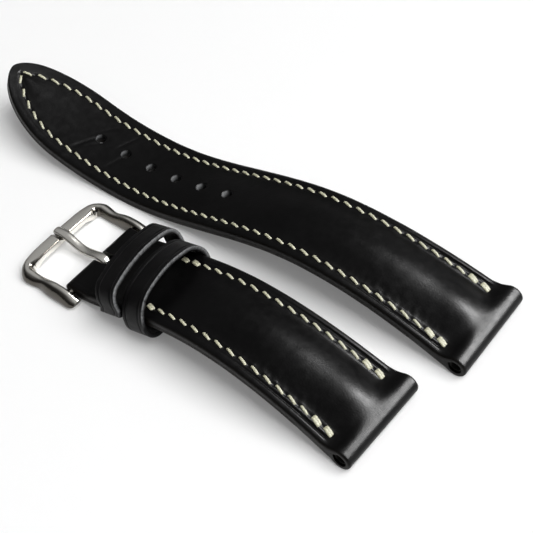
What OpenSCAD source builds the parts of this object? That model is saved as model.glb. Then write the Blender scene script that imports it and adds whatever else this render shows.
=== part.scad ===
// Two-piece leather watch strap with a tang buckle, lying on a table.
// The origin is the middle of the short half's spring-bar tunnel. X runs from the
// buckle to the watch end along the short half, Y is across it and Z is up.

/* [Strap] */
// Width of both halves at the watch lugs
lug_w = 20; // [18:0.5:24]
// Width of both halves towards the buckle
tail_w = 17.5; // [15:0.5:20]
// Length of the long half from its lug end to its tip
long_len = 118.5; // [112:0.5:135]
// Length of the short half from its lug end to the buckle's spring bar
short_len = 66; // [63:0.5:80]
// Distance over which the width runs in from the lugs
taper_len = 50; // [30:1:60]
// Length of the pointed end of the long half
tip_len = 20; // [14:0.5:26]

/* [Leather] */
// Thickness of the outer leather
skin_t = 1.2; // [0.9:0.05:1.5]
// Thickness of the lining leather
lining_t = 1.1; // [0.8:0.05:1.4]
// Height of the padding's crown beside the watch
pad_crown = 1.7; // [0.8:0.1:2.4]
// Height of the crown that is left where the padding has run out
flat_crown = 0.25; // [0.1:0.05:0.4]
// Clearance between the glued layers
layer_gap = 0.02; // [0.01:0.005:0.03]
// Clearance between the padding and the outer leather over it
pad_gap = 0.1; // [0.09:0.01:0.12]
// Clearance between a bar or tape and the leather that is turned round it
turn_gap = 0.03; // [0.025:0.005:0.05]

/* [Lug ends] */
// Radius of the spring-bar tunnel
tunnel_r = 1.0; // [0.8:0.05:1.2]
// Thickness of the tape that lines the tunnel
tape_t = 0.3; // [0.2:0.05:0.4]
// Thickness of the outer leather where it rolls round the tunnel
roll_t = 0.82; // [0.6:0.01:1.1]
// Length of the leather that is turned under at the lug end
turn_in = 9.5; // [8:0.5:12]
// Length over which the lug roll fairs into the strap
roll_blend = 4.2; // [4:0.1:6]

/* [Stitching] */
// Pitch of the stitches
stitch_pitch = 2.65; // [2.2:0.05:3.2]
// Length of one stitch on the surface
stitch_len = 1.95; // [1.5:0.05:2.1]
// Width of the thread as it lies
thread_w = 0.6; // [0.4:0.05:0.7]
// Height of the thread as it lies
thread_h = 0.3; // [0.2:0.05:0.35]
// Slant of each stitch to its row
stitch_slant = 12; // [0:1:20]
// Distance from the lug end to the middle of the nearest stitch
stitch_start = 6.5; // [6:0.1:8]
// Distance of a row from the edge at the lug end
row_inset_lug = 2.6; // [2:0.1:3]
// Distance of a row from the edge at the far end of that row
row_inset_end = 2.6; // [2:0.1:3]
// Flat width that is left between the middle of a row and the start of the crown
row_flat = 0.85; // [0.85:0.05:1.2]
// Clearance between the short half's last stitch and the leather turned in at the buckle
row_end_gap = 0.05; // [0.05:0.05:3]

/* [Holes] */
// Radius of the punched holes
hole_r = 1.0; // [0.8:0.05:1.1]
// Number of punched holes
hole_count = 6; // [5:1:6]
// Distance between neighbouring holes
hole_pitch = 6.85; // [5:0.05:7]
// Distance from the lug end to the nearest hole
first_hole = 58.8; // [57:0.1:62]

/* [How it lies] */
// Height of the long half's crest above the table
long_crest = 7.2; // [5:0.1:9]
// Distance of that crest from the lug end
long_crest_at = 36; // [30:1:42]
// Distance from the lug end to where the long half touches the table
long_valley_at = 79; // [74:1:84]
// Height of the long half's tip above the table
tip_rise = 10.1; // [4:0.1:12]
// Upward angle of the long half at its tip
tip_pitch = 25; // [5:1:30]
// Sideways drift of the long half's tip
tip_drift = 1.3; // [0:0.1:2]
// Height of the short half's crest above the table
short_crest = 7.3; // [5:0.1:8]
// Distance of that crest from the lug end
short_crest_at = 33; // [30:1:36]
// Upward angle of the long half as it leaves its lug end
long_pitch = 21; // [12:1:24]
// Upward angle of the short half as it leaves its lug end
short_pitch = 23.5; // [14:0.5:26]
// Downward angle of the short half as it meets the buckle
buckle_pitch = 12.5; // [8:0.5:16]
// Clearance between the two halves at their lug ends
halves_apart = 6.6; // [4:0.1:20]
// Distance that the long half's tunnel lies ahead of the short half's
pair_lead = 4.4; // [0:0.1:10]
// Angle that the long half is turned on the table
pair_turn = 2.4; // [0:0.1:4]

/* [Buckle] */
// Clearance between the strap and each arm of the buckle
arm_gap = 0.25; // [0.15:0.05:0.5]
// Width of each arm
arm_w = 1.95; // [1.6:0.05:2.4]
// Distance from the spring bar to the outside of the front bar
buckle_reach = 12.5; // [11.5:0.1:15]
// Width of the front bar
bar_w = 1.9; // [1.5:0.1:2.4]
// Height of the front bar at its ends
bar_h = 2.4; // [2:0.1:2.8]
// Extra height of the front bar in its middle
bar_arch = 0.5; // [0:0.1:0.6]
// Height of the arms where they bulge beside the ears
arm_h = 3.15; // [2.6:0.05:3.3]
// Height of the spring bar above the table
pivot_h = 1.7; // [1.65:0.05:1.9]
// Radius of the outer corners of the buckle
corner_r = 2.8; // [2:0.1:3.5]
// Width of the tongue
tongue_w = 2.1; // [1.8:0.1:2.4]
// Thickness of the tongue
tongue_t = 1.25; // [1:0.05:1.4]
// Clearance on each side of the tongue in its slot
slot_gap = 0.3; // [0.2:0.05:0.5]

/* [Spring bar] */
// Outside radius of the spring bar's tube
tube_r = 0.75; // [0.65:0.05:0.8]
// Radius of the bar's pivot tips
tip_r = 0.4; // [0.35:0.05:0.45]
// Radial running clearance of a part that turns or slides on the spring bar
run_gap = 0.05; // [0.03:0.01:0.08]
// Length of each tip inside its ear
tip_reach = 1.1; // [0.8:0.1:1.3]
// Length over which the fold at the spring bar fairs into the strap
fold_blend = 5; // [4:0.5:7]
// Leather thickness round the spring bar
fold_t = 0.8; // [0.7:0.01:0.88]
// Thickness of the leather turned under the strap beyond the spring bar
flap_t = 0.52; // [0.4:0.01:0.55]
// Length of the leather that is turned under at the buckle
buckle_turn_in = 16; // [14:0.5:18]
// Length beside the spring bar over which the turned leather keeps its full thickness
flap_full = 4.5; // [4.4:0.1:5]

/* [Keepers] */
// Thickness of the keepers' leather
keeper_t = 0.95; // [0.8:0.05:1.1]
// Width of the fixed keeper, on the buckle's side
fixed_keeper_w = 5.1; // [4.8:0.1:5.6]
// Width of the free keeper
free_keeper_w = 5.3; // [5:0.1:5.8]
// Room for the tail above the strap, inside the fixed keeper
fixed_keeper_room = 4.7; // [4:0.1:5]
// Room for the tail above the strap, inside the free keeper
free_keeper_room = 3.9; // [3.6:0.1:4.2]
// Room under the strap, inside the free keeper
free_keeper_drop = 3; // [2.4:0.1:3.4]
// Clearance between the fixed keeper's sides and the strap
fixed_keeper_gap = 0.6; // [0.4:0.05:0.7]
// Clearance between the free keeper's sides and the strap
keeper_gap = 0.35; // [0.3:0.05:0.45]
// Radius of the fixed keeper's top corners
fixed_corner_r = 3.5; // [3:0.1:4.2]
// Radius of the free keeper's top corners
free_corner_r = 6.3; // [5.6:0.1:6.6]
// Radius of the free keeper's corners under the strap
free_low_r = 3.8; // [2.5:0.1:4]
// Radius of the fixed keeper's arched top
fixed_crown_r = 30; // [24:1:40]
// Radius of the free keeper's arched top
free_crown_r = 20; // [19:1:30]
// Distance from the spring bar to the near side of the fixed keeper
keeper_from_bar = 9.4; // [9:0.1:9.8]
// Clearance between the two keepers
keeper_space = 0.5; // [0.3:0.1:1]
// Distance from the strap's centre line to each inner end of the fixed keeper
keeper_end_at = 3; // [2:0.1:5]

/* [Hidden] */
$fn = 48;
LONG = 0;
SHORT = 1;
black = [0.09, 0.085, 0.085];
lining_black = [0.13, 0.12, 0.12];
thread_cream = [0.84, 0.83, 0.66];
steel = [0.68, 0.67, 0.64];
pad_tan = [0.72, 0.6, 0.45];
tape_white = [0.86, 0.84, 0.78];

// The strap's side view. A station is measured along the underside from the tunnel.
edge_t = skin_t + lining_t;
roll_r = tunnel_r + tape_t + turn_gap + roll_t;
roll_rise = 2 * roll_r - edge_t;
fold_r = tube_r + turn_gap + fold_t;
fold_rise = 2 * fold_r - edge_t;
long_path = long_len - roll_r;
short_path = short_len - roll_r;
path_step = 0.5;
skin_step = 2.4;
roll_step = 0.7;
run_in = [for (pitch = [long_pitch, short_pitch]) roll_r * (1 - cos(pitch))];
profiles = [
    [[0, run_in[LONG], sin(long_pitch)], [long_crest_at - roll_r, long_crest, 0],
        [long_valley_at - roll_r, layer_gap, 0], [long_path, tip_rise, sin(tip_pitch)]],
    [[0, run_in[SHORT], sin(short_pitch)], [short_crest_at - roll_r, short_crest, 0],
        [short_path, pivot_h - fold_r * cos(buckle_pitch), -sin(buckle_pitch)]]];

function path_end(half) = half == LONG ? long_path : short_path;
function piece_of(p, s, i = 0) = i >= len(p) - 2 || s <= p[i + 1][0] ? i : piece_of(p, s, i + 1);
function rise_between(a, b, s) =
    let (l = b[0] - a[0], t = (s - a[0]) / l, t2 = t * t, t3 = t2 * t)
    (2 * t3 - 3 * t2 + 1) * a[1] + (t3 - 2 * t2 + t) * l * a[2]
    + (3 * t2 - 2 * t3) * b[1] + (t3 - t2) * l * b[2];
function slope_between(a, b, s) =
    let (l = b[0] - a[0], t = (s - a[0]) / l, t2 = t * t)
    (6 * t2 - 6 * t) * (a[1] - b[1]) / l + (3 * t2 - 4 * t + 1) * a[2] + (3 * t2 - 2 * t) * b[2];
function rise(half, s) =
    let (p = profiles[half], i = piece_of(p, s)) rise_between(p[i], p[i + 1], s);
function slope(half, s) =
    let (p = profiles[half], i = piece_of(p, s)) slope_between(p[i], p[i + 1], s);
function run_table(half) =
    [for (i = 0, x = 0; i * path_step <= path_end(half) + 2 * path_step;
        x = x + path_step * sqrt(1 - pow(slope(half, (i + 0.5) * path_step), 2)), i = i + 1)
        [i * path_step, x]];
run_tables = [run_table(LONG), run_table(SHORT)];

// Upward normal and underside point at a station, as [x, z] from the tunnel's middle.
function up_at(half, s) = let (a = asin(slope(half, s))) [sin(a), cos(a)];
function under(half, s) =
    let (up = up_at(half, 0))
    [-roll_r * up[0] - lookup(s, run_tables[half]), rise(half, s) - roll_r];
function drift(half, s) =
    half == LONG ? tip_drift * pow(max(0, s - long_path + 1.5 * tip_len) / (1.5 * tip_len), 2) : 0;
function place(half, s, v, h) =
    let (p = under(half, s), up = up_at(half, s))
    [p[0] + h * up[0], v + drift(half, s), p[1] + h * up[1]];

// Widths across the strap at a station
function fade(x) = let (t = min(1, max(0, x))) t * t * (3 - 2 * t);
function from_lug(s) = s + roll_r;
function tip_share(s) = let (d = (long_len - from_lug(s)) / tip_len)
    d >= 1 ? 1 : pow(1 - pow(1 - max(0.0015, d), 2), 0.55);
function half_w(half, s) =
    (tail_w / 2 + (lug_w - tail_w) / 2 * pow(max(0, 1 - max(0, from_lug(s)) / taper_len), 2))
    * (half == LONG ? tip_share(s) : 1);
short_row_len = short_len - buckle_turn_in - row_end_gap - stitch_len / 2;
row_tip = long_len - 2.3;
row_tip_len = 0.85 * tip_len;
function row_share(s) = let (d = (row_tip - from_lug(s)) / row_tip_len)
    d >= 1 ? 1 : d <= 0 ? 0 : pow(1 - pow(1 - d, 2), 0.83);
function row_at(half, s) =
    let (near = lug_w / 2 - row_inset_lug, far = tail_w / 2 - row_inset_end,
        far_at = half == LONG ? long_len - tip_len : short_row_len)
    (near + (far - near) * min(1, from_lug(s) / far_at)) * (half == LONG ? row_share(s) : 1);
function groove_at(half, s) = max(row_at(half, s), 0.2 * half_w(half, s));
function dome_at(half, s) = max(row_at(half, s) - row_flat, 0.2 * half_w(half, s));

// Height of the outer surface above the underside
pad_fade = 4;
pad_out = [first_hole - pad_fade - roll_r, short_row_len - 1 - roll_r];
function crown(half, s) =
    flat_crown + (pad_crown - flat_crown) * (1 - fade((s - 0.42 * pad_out[half]) / (0.58 * pad_out[half])));
roll_turn = 0.7 * roll_r;
roll_depth = sqrt(roll_r * roll_r - roll_turn * roll_turn);
roll_leaves = [roll_turn, 1 - (roll_r - roll_depth) / roll_rise, -roll_turn / roll_depth / roll_rise];
function lug_share(s) =
    s <= roll_turn ? 1 - (roll_r - sqrt(roll_r * roll_r - s * s)) / roll_rise
    : s >= roll_blend ? 0 : rise_between(roll_leaves, [roll_blend, 0, 0], s);
function fold_share(half, s) = half == LONG ? 0 : fade(1 - (short_path - s) / fold_blend);
function lift(half, s, v) =
    let (c = dome_at(half, s), k = lug_share(s), f = fold_share(half, s),
        full = fade((row_at(half, s) - row_flat) / row_flat),
        dome = abs(v) < c ? full * crown(half, s) * pow(1 - pow(v / c, 2), 1.4) : 0)
    dome * (1 - k) * (1 - f) + roll_rise * k + fold_rise * f;
function pad_fill(half, s) = 1 - fade((s - pad_out[half] + pad_fade) / pad_fade);
function inner_h(half, s, v) =
    lining_t + layer_gap + lug_share(s) * (skin_t - roll_t) + fold_share(half, s) * (skin_t - fold_t)
    + (lift(half, s, v) * max(pad_fill(half, s), fold_share(half, s)));
edge_round = 0.35;
function skin_cols(half, s) =
    let (c = dome_at(half, s), w = half_w(half, s), e = min(0.4, 0.15 * w),
        right = [0.3 * c, 0.55 * c, 0.75 * c, 0.9 * c, c, w - e, w])
    concat(-backwards(right), [0], right);
function edge_drop(half, s, v) = abs(v) >= half_w(half, s) - 0.001 ? min(edge_round, 0.4 * half_w(half, s)) : 0;

function backwards(list) = [for (i = [len(list) - 1:-1:0]) list[i]];

// A leather sheet or block between two grids of points, each a list of rows from tail to lug.
module sheet(outside, inside) {
    rows = len(outside);
    cols = len(outside[0]);
    count = rows * cols;
    function a(i, j) = i * cols + j;
    function b(i, j) = count + i * cols + j;
    points = [for (g = [outside, inside]) for (r = g) for (p = r) p];
    faces = concat(
        [for (i = [0:rows - 2]) for (j = [0:cols - 2]) each
            [[a(i, j), a(i, j + 1), a(i + 1, j + 1)], [a(i, j), a(i + 1, j + 1), a(i + 1, j)]]],
        [for (i = [0:rows - 2]) for (j = [0:cols - 2]) each
            [[b(i, j), b(i + 1, j + 1), b(i, j + 1)], [b(i, j), b(i + 1, j), b(i + 1, j + 1)]]],
        [for (i = [0:rows - 2]) each
            [[a(i, 0), a(i + 1, 0), b(i + 1, 0)], [a(i, 0), b(i + 1, 0), b(i, 0)]]],
        [for (i = [0:rows - 2]) each
            [[a(i, cols - 1), b(i + 1, cols - 1), a(i + 1, cols - 1)],
                [a(i, cols - 1), b(i, cols - 1), b(i + 1, cols - 1)]]],
        [for (j = [0:cols - 2]) each
            [[a(0, j), b(0, j + 1), a(0, j + 1)], [a(0, j), b(0, j), b(0, j + 1)]]],
        [for (j = [0:cols - 2]) each
            [[a(rows - 1, j), a(rows - 1, j + 1), b(rows - 1, j + 1)],
                [a(rows - 1, j), b(rows - 1, j + 1), b(rows - 1, j)]]]);
    polyhedron(points, faces, convexity = 10);
}

// Evenly spaced stations between two ends, and closer ones at the pointed tip
function spread(from, to, step) =
    let (n = max(1, ceil(abs(to - from) / step))) [for (i = [0:n]) from + (to - from) * i / n];
tip_stations = [for (share = [0.8, 0.62, 0.46, 0.32, 0.2, 0.11, 0.05, 0.015, 0.002])
    long_path - share * tip_len];

// The turn of the outer leather round a bar: the centre, the way from up to down and the radii.
function turn_points(half, s, way, radius, thick, turns, inner) =
    let (p = under(half, s), up = up_at(half, s), mid = [p[0] + radius * up[0], p[1] + radius * up[1]])
    [for (i = [1:turns - 1])
        let (a = 180 * i / turns, dir = [up[0] * cos(a) + way * up[1] * sin(a),
            up[1] * cos(a) - way * up[0] * sin(a)])
        [for (v = skin_cols(half, s))
            let (r = inner ? radius - thick : radius - edge_drop(half, s, v))
            [mid[0] + r * dir[0], v, mid[1] + r * dir[1]]]];
function top_row(half, s, inner) =
    [for (v = skin_cols(half, s))
        place(half, s, v, inner ? inner_h(half, s, v)
            : edge_t + lift(half, s, v) - edge_drop(half, s, v))];
function under_row(half, s, thick, inner) =
    [for (v = skin_cols(half, s)) place(half, s, v, inner ? thick : edge_drop(half, s, v))];

top_stations = [
    concat(backwards(tip_stations),
        spread(long_path - tip_len, roll_blend, skin_step), spread(roll_blend, 0, roll_step)),
    concat(spread(short_path, short_path - fold_blend, 1.25),
        spread(short_path - fold_blend - 1, roll_blend, skin_step),
        spread(roll_blend, 0, roll_step))];
tape_gap = roll_t - layer_gap;
turn_steps = 10;
skived_to = short_path - flap_full;
flap_stations = concat(spread(short_path - buckle_turn_in, skived_to, 2.3),
    spread(skived_to + 1.2, short_path, 1.7));
function flap_thick(s) = s > skived_to + 1 ? fold_t : flap_t;
function skin_grid(half, inner) = concat(
    half == SHORT ? concat(
        [for (s = flap_stations) under_row(half, s, flap_thick(s), inner)],
        backwards(turn_points(half, short_path, -1, fold_r, fold_t, turn_steps, inner))) : [],
    [for (s = top_stations[half]) top_row(half, s, inner)],
    turn_points(half, 0, 1, roll_r, roll_t, turn_steps, inner),
    [for (s = spread(0, turn_in, 1.9)) under_row(half, s, roll_t, inner)]);
module skin(half) {
    sheet(skin_grid(half, false), skin_grid(half, true));
}

// The padding is a lens under the crown that widens to the edges at the lug roll.
function pad_half(half, s) =
    let (k = lug_share(s)) 0.7 * dome_at(half, s) * (1 - k) + (half_w(half, s) - 0.9) * k;
function pad_cols(half, s) = [for (f = [-1, -0.8, -0.55, -0.28, 0, 0.28, 0.55, 0.8, 1]) f * pad_half(half, s)];
pad_start = tunnel_r + tape_t + layer_gap;
pad_stop = 6;
function pad_grid(half, top) =
    [for (s = concat(spread(pad_out[half] - pad_stop, roll_blend + 1.5, 2.4),
            spread(roll_blend, pad_start + 0.8, 0.9), [pad_start]))
        [for (v = pad_cols(half, s))
            place(half, s, v, top ? inner_h(half, s, v) - pad_gap : lining_t + layer_gap)]];
module pad(half) {
    sheet(pad_grid(half, true), pad_grid(half, false));
}

// The lining has a groove under each row, so that the thread lies flush on the table side.
groove = thread_h + 2 * layer_gap;
groove_w = 0.95;
function lining_cols(half, s) =
    let (c = groove_at(half, s), w = half_w(half, s), g = min(groove_w / 2 + 0.4, 0.14 * w),
        right = [c - 1.15 * g, c - 0.9 * g, c + 0.9 * g, c + 1.15 * g, w - min(0.35, 0.1 * w), w])
    concat(-backwards(right), [0], right);
function lining_under(half, s, j) =
    let (side = abs(j - 6), at_tip = half == LONG && s > long_path - 0.25 * tip_len,
        grooved = side == 2 || side == 3 || (at_tip && side < 2) ? groove : 0,
        lifted = half == SHORT && s > short_path - buckle_turn_in - layer_gap ? flap_thick(s) + layer_gap : 0)
    max(lifted, grooved * (s < row_tip - 2 ? 1 : 0), side == 6 ? 0.25 : 0);
lining_from = turn_in + layer_gap;
lining_to = short_path - fold_r;
lining_stations = [
    concat(spread(lining_from, long_path - tip_len, skin_step), tip_stations),
    concat(spread(lining_from, short_path - buckle_turn_in - 2 * layer_gap, skin_step),
        [for (s = flap_stations) if (s < lining_to) s])];
function lining_grid(half, top) =
    [for (s = lining_stations[half]) let (cols = lining_cols(half, s))
        [for (j = [0:len(cols) - 1])
            place(half, s, cols[j], top ? lining_t : lining_under(half, s, j))]];
module lining(half) {
    sheet(backwards(lining_grid(half, true)), backwards(lining_grid(half, false)));
}

// Puts children on the strap: X along it towards the lug, Z off its surface.
module on_strap(half, s, v, h) {
    p = place(half, s, v, h);
    translate(p) rotate([0, asin(slope(half, s)), 0]) children();
}
module across(length, radius) {
    rotate([90, 0, 0]) cylinder(r = radius, h = length, center = true);
}

// The tape lines the tunnel and runs back over the leather that is turned under.
module lug_tape(half) {
    tail = [for (s = spread(0, turn_in - 0.5, 1.9)) under(half, s)];
    ups = [for (s = spread(0, turn_in - 0.5, 1.9)) up_at(half, s)];
    low = roll_t + layer_gap;
    high = lining_t;
    last = len(tail) - 1;
    width = lug_w - 1.2;
    difference() {
        union() {
            across(width, tunnel_r + tape_t);
            rotate([90, 0, 0]) linear_extrude(width, center = true)
                polygon(concat([for (i = [0:last]) tail[i] + low * ups[i]],
                    [for (i = [last:-1:0]) tail[i] + (i == 0 ? low + tape_t : high) * ups[i]]));
        }
        across(lug_w + 2, tunnel_r);
    }
}

// Stitches, counted from the lug end
function stitch_count(half) =
    1 + floor(((half == LONG ? row_tip - stitch_len / 2 : short_row_len) - stitch_start) / stitch_pitch);
function stitch_at(i) = stitch_start - roll_r + i * stitch_pitch;
function stitch_seat(half, s) =
    let (c = stitch_len / 2, side = thread_w + c * sin(stitch_slant))
    edge_t + 2 * layer_gap + max([for (d = [-c, -c / 2, 0, c / 2, c])
        lift(half, max(0, s + d), max(0, row_at(half, s + d) - side))]);
function row_turn(half, s) = atan((row_at(half, s - 0.5) - row_at(half, s + 0.5)) / 1);
function doubled(half, i) = i < 2 || (half == SHORT && i > stitch_count(half) - 3);
module thread_run(half, s, v, h, turn, width) {
    on_strap(half, s, v, h) rotate([0, 0, turn])
        translate([-stitch_len / 2, -width / 2, 0]) cube([stitch_len, width, thread_h]);
}
module stitching(half, side) {
    for (i = [0:stitch_count(half) - 1]) {
        s = stitch_at(i);
        v = side * row_at(half, s);
        turn = side * row_turn(half, s);
        seat = stitch_seat(half, s);
        for (shift = doubled(half, i) ? [-0.5, 0.5] : [0])
            thread_run(half, s, v + shift * thread_w * 1.05, seat, turn - stitch_slant, thread_w);
        flush = s > lining_from + 1.2 ? groove - thread_h - layer_gap : -thread_h - layer_gap;
        thread_run(half, s, v, flush, turn, thread_w);
    }
}

module holes_in_tail() {
    for (i = [0:hole_count - 1])
        on_strap(LONG, first_hole - roll_r + i * hole_pitch, 0, 0)
            cylinder(r = hole_r, h = 4 * edge_t, center = true);
}

// Places the long half beside the short half.
module beside() {
    translate([pair_lead, lug_w + halves_apart, 0]) rotate([0, 0, pair_turn]) children();
}

module long_top_leather() {
    color(black) beside() difference() {
        skin(LONG);
        holes_in_tail();
    }
}
module long_padding() {
    color(pad_tan) beside() pad(LONG);
}
module long_lining() {
    color(lining_black) beside() difference() {
        lining(LONG);
        holes_in_tail();
    }
}
module long_lug_tape() {
    color(tape_white) beside() lug_tape(LONG);
}
module long_stitching_left() {
    color(thread_cream) beside() stitching(LONG, -1);
}
module long_stitching_right() {
    color(thread_cream) beside() stitching(LONG, 1);
}

// The spring bar's middle and the directions of the buckle, which lies flat on the table
bar_under = under(SHORT, short_path);
bar_up = up_at(SHORT, short_path);
pivot_x = bar_under[0] + fold_r * bar_up[0];
pivot_z = bar_under[1] + fold_r * bar_up[1];
table_z = -roll_r;
slot_w = tongue_w + 2 * slot_gap;
slot_back = 2.9;
module at_pivot() {
    translate([pivot_x, 0, pivot_z]) children();
}

module short_top_leather() {
    color(black) difference() {
        skin(SHORT);
        at_pivot() translate([-2 * fold_r, -slot_w / 2, -3 * fold_r])
            cube([2 * fold_r + slot_back, slot_w, 6 * fold_r]);
    }
}
module short_padding() {
    color(pad_tan) pad(SHORT);
}
module short_lining() {
    color(lining_black) difference() {
        lining(SHORT);
        for (side = [-1, 1])
            on_strap(SHORT, fixed_keeper_s, side * (keeper_end_at - end_gap + tail_w / 2), edge_t / 2)
                cube([fixed_keeper_w + 2 * end_gap, tail_w, 3 * edge_t], center = true);
        at_pivot() translate([-2 * fold_r, -slot_w / 2, -3 * fold_r])
            cube([2 * fold_r + slot_back, slot_w, 6 * fold_r]);
    }
}
module short_lug_tape() {
    color(tape_white) lug_tape(SHORT);
}
module short_stitching_left() {
    color(thread_cream) stitching(SHORT, -1);
}
module short_stitching_right() {
    color(thread_cream) stitching(SHORT, 1);
}

// A keeper is a loop round the strap, seen along the strap with the underside at Y = 0.
// Its top is a flat arch that meets both corner circles smoothly.
module loop_outline(w, h, low_r, high_r, crown_r) {
    reach = w / 2 - high_r;
    crown_y = h - crown_r;
    corner_y = crown_y + sqrt(pow(crown_r - high_r, 2) - pow(reach, 2));
    arch = reach * crown_r / (crown_r - high_r);
    for (side = [-1, 1]) {
        translate([side * (w / 2 - low_r), low_r]) circle(low_r);
        translate([side * reach, corner_y]) intersection() {
            circle(high_r);
            translate([-high_r - 1, 0]) square([2 * high_r + 2, high_r + 1]);
        }
    }
    intersection() {
        translate([0, crown_y]) circle(crown_r);
        translate([-arch, low_r]) square([2 * arch, h]);
    }
    translate([-w / 2, low_r]) square([w, corner_y - low_r]);
    translate([low_r - w / 2, 0]) square([w - 2 * low_r, corner_y]);
}
end_gap = 0.04;
keeper_seam = 0.12;
module keeper_band(s, width, gap, base, base_t, top, low_r, high_r, crown_r, opening) {
    in_w = 2 * (half_w(SHORT, s - width / 2) + gap);
    on_strap(SHORT, s, 0, 0) rotate([90, 0, 90]) linear_extrude(width, center = true) difference() {
        translate([0, base - base_t])
            loop_outline(in_w + 2 * keeper_t, top - base + base_t + keeper_t, low_r, high_r, crown_r);
        translate([0, base])
            loop_outline(in_w, top - base, low_r - base_t, high_r - keeper_t, crown_r - keeper_t);
        translate([-opening / 2, base - 2 * base_t]) square([opening, 3 * base_t]);
    }
}
keeper_thread_h = 0.2;
keeper_thread_w = 0.45;
keeper_thread_len = 2.2;

fixed_keeper_s = short_path - keeper_from_bar - fixed_keeper_w / 2;
free_keeper_s = fixed_keeper_s - fixed_keeper_w / 2 - keeper_space - free_keeper_w / 2;
// The fixed keeper's ends are skived thin and lie between the turned leather and the outer leather.
module fixed_keeper() {
    color(black) keeper_band(fixed_keeper_s, fixed_keeper_w, fixed_keeper_gap, lining_t - end_gap,
        lining_t - flap_t - 2 * end_gap, edge_t + fixed_keeper_room, 1.1,
        fixed_corner_r, fixed_crown_r, 2 * keeper_end_at);
}
module free_keeper() {
    color(black) keeper_band(free_keeper_s, free_keeper_w, keeper_gap, -free_keeper_drop, keeper_t,
        edge_t + free_keeper_room, free_low_r, free_corner_r, free_crown_r, keeper_seam);
}
// Two stitches join the ends of the free keeper under the strap.
module free_keeper_thread() {
    color(thread_cream)
        on_strap(SHORT, free_keeper_s, 0, -free_keeper_drop - keeper_t - layer_gap - keeper_thread_h / 2)
            for (x = [-1, 1]) translate([x * free_keeper_w / 4, 0, 0])
                cube([keeper_thread_w, keeper_thread_len, keeper_thread_h], center = true);
}

// The buckle is drawn from the spring bar: X towards the strap, Z up from the table.
frame_in = tail_w / 2 + arm_gap;
frame_out = frame_in + arm_w;
ear_r = pivot_h + 0.05;
waist_r = 39;
waist_in = 0.4;
waist_h = bar_h - 0.2;
bulge_at = 2.6;
waist_at = 7.5;
module at_table() {
    translate([pivot_x, 0, table_z]) children();
}
module frame_plan() {
    front = buckle_reach - corner_r;
    difference() {
        union() {
            translate([-front, -frame_out]) square([front + ear_r, 2 * frame_out]);
            translate([-buckle_reach, -frame_out + corner_r])
                square([corner_r + 1, 2 * (frame_out - corner_r)]);
            for (side = [-1, 1]) translate([-front, side * (frame_out - corner_r)]) circle(corner_r);
        }
        translate([-(buckle_reach - bar_w), -frame_in]) square([buckle_reach + 2 * ear_r, 2 * frame_in]);
        for (side = [-1, 1])
            translate([-waist_at, side * (frame_out + waist_r - waist_in)]) circle(waist_r, $fn = 240);
    }
}
// Side view of the frame: a low front bar, a slight waist and a bulge beside the ears
module frame_side() {
    top = [[-buckle_reach, bar_h + bar_arch, 0], [-buckle_reach + bar_w + 0.6, bar_h + bar_arch, -0.1],
        [-waist_at, waist_h, 0], [-bulge_at, arm_h, 0], [0, 2 * ear_r - 0.25, -0.1]];
    polygon(concat([[0, 0], [-buckle_reach, 0]],
        [for (i = [0:len(top) - 2]) for (x = spread(top[i][0], top[i + 1][0], 0.4))
            if (i == 0 || x > top[i][0]) [x, rise_between(top[i], top[i + 1], x)]]));
}
// The front bar's top: highest in the middle, with rounded shoulders
module bar_crest() {
    span = 2 * frame_out + 2;
    deep = bar_w + 2.2;
    crest_r = (frame_out * frame_out) / (2 * bar_arch) + bar_arch / 2;
    translate([-buckle_reach - 1, 0, bar_h + bar_arch - crest_r])
        rotate([0, 90, 0]) difference() {
            translate([-crest_r - 4, -span / 2, 0]) cube([crest_r + 2, span, deep]);
            translate([0, 0, -1]) cylinder(r = crest_r, h = deep + 2, $fn = 360);
        }
}
module tongue_notch() {
    notch_r = 2.4;
    side_rise = notch_r - sqrt(notch_r * notch_r - tongue_w * tongue_w / 4);
    lowest = min([for (a = spread(buckle_reach - bar_w - 0.3, tongue_line[3][0], 0.3)) tongue_under(a)]);
    translate([-buckle_reach - 1, 0, lowest - run_gap - side_rise + notch_r])
        rotate([0, 90, 0]) cylinder(r = notch_r, h = bar_w + 2);
}
module buckle_frame() {
    color(steel) at_table() difference() {
        intersection() {
            linear_extrude(2 * ear_r + 1) frame_plan();
            union() {
                rotate([90, 0, 0]) linear_extrude(2 * frame_out + 2, center = true) frame_side();
                translate([0, 0, pivot_h]) across(2 * frame_out + 2, ear_r);
            }
        }
        if (bar_arch > 0) bar_crest();
        tongue_notch();
        translate([0, 0, pivot_h]) across(2 * (frame_in + tip_reach + 0.15), tip_r + run_gap);
    }
}

// The tongue dips behind the front bar and lies over it.
tongue_ring_r = fold_r + 0.05;
tongue_line = [[0, pivot_h + tongue_ring_r, 0], [5.2, bar_h + 0.05, 0],
    [buckle_reach - 2.7, bar_h + bar_arch + tongue_t - 0.3, 0.08],
    [buckle_reach - 0.1, bar_h + bar_arch + tongue_t - 0.45, -0.16]];
function tongue_top(a) = let (i = piece_of(tongue_line, a)) rise_between(tongue_line[i], tongue_line[i + 1], a);
function tongue_under(a) = tongue_top(a) - tongue_t;
module buckle_tongue() {
    tip_a = tongue_line[3][0];
    line = spread(0.4, tip_a - 0.35, 0.6);
    color(steel) at_table() rotate([90, 0, 0]) difference() {
        union() {
            linear_extrude(tongue_w, center = true) polygon(concat(
                [for (a = line) [-a, tongue_top(a)]],
                [[-tip_a, tongue_top(tip_a) - 0.35], [-tip_a, tongue_under(tip_a) + 0.25]],
                [for (a = backwards(line)) [-a, tongue_under(a)]]));
            translate([0, pivot_h]) cylinder(r = tongue_ring_r, h = tongue_w, center = true);
        }
        translate([0, pivot_h]) cylinder(r = tube_r + run_gap, h = tongue_w + 2, center = true);
    }
}

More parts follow.
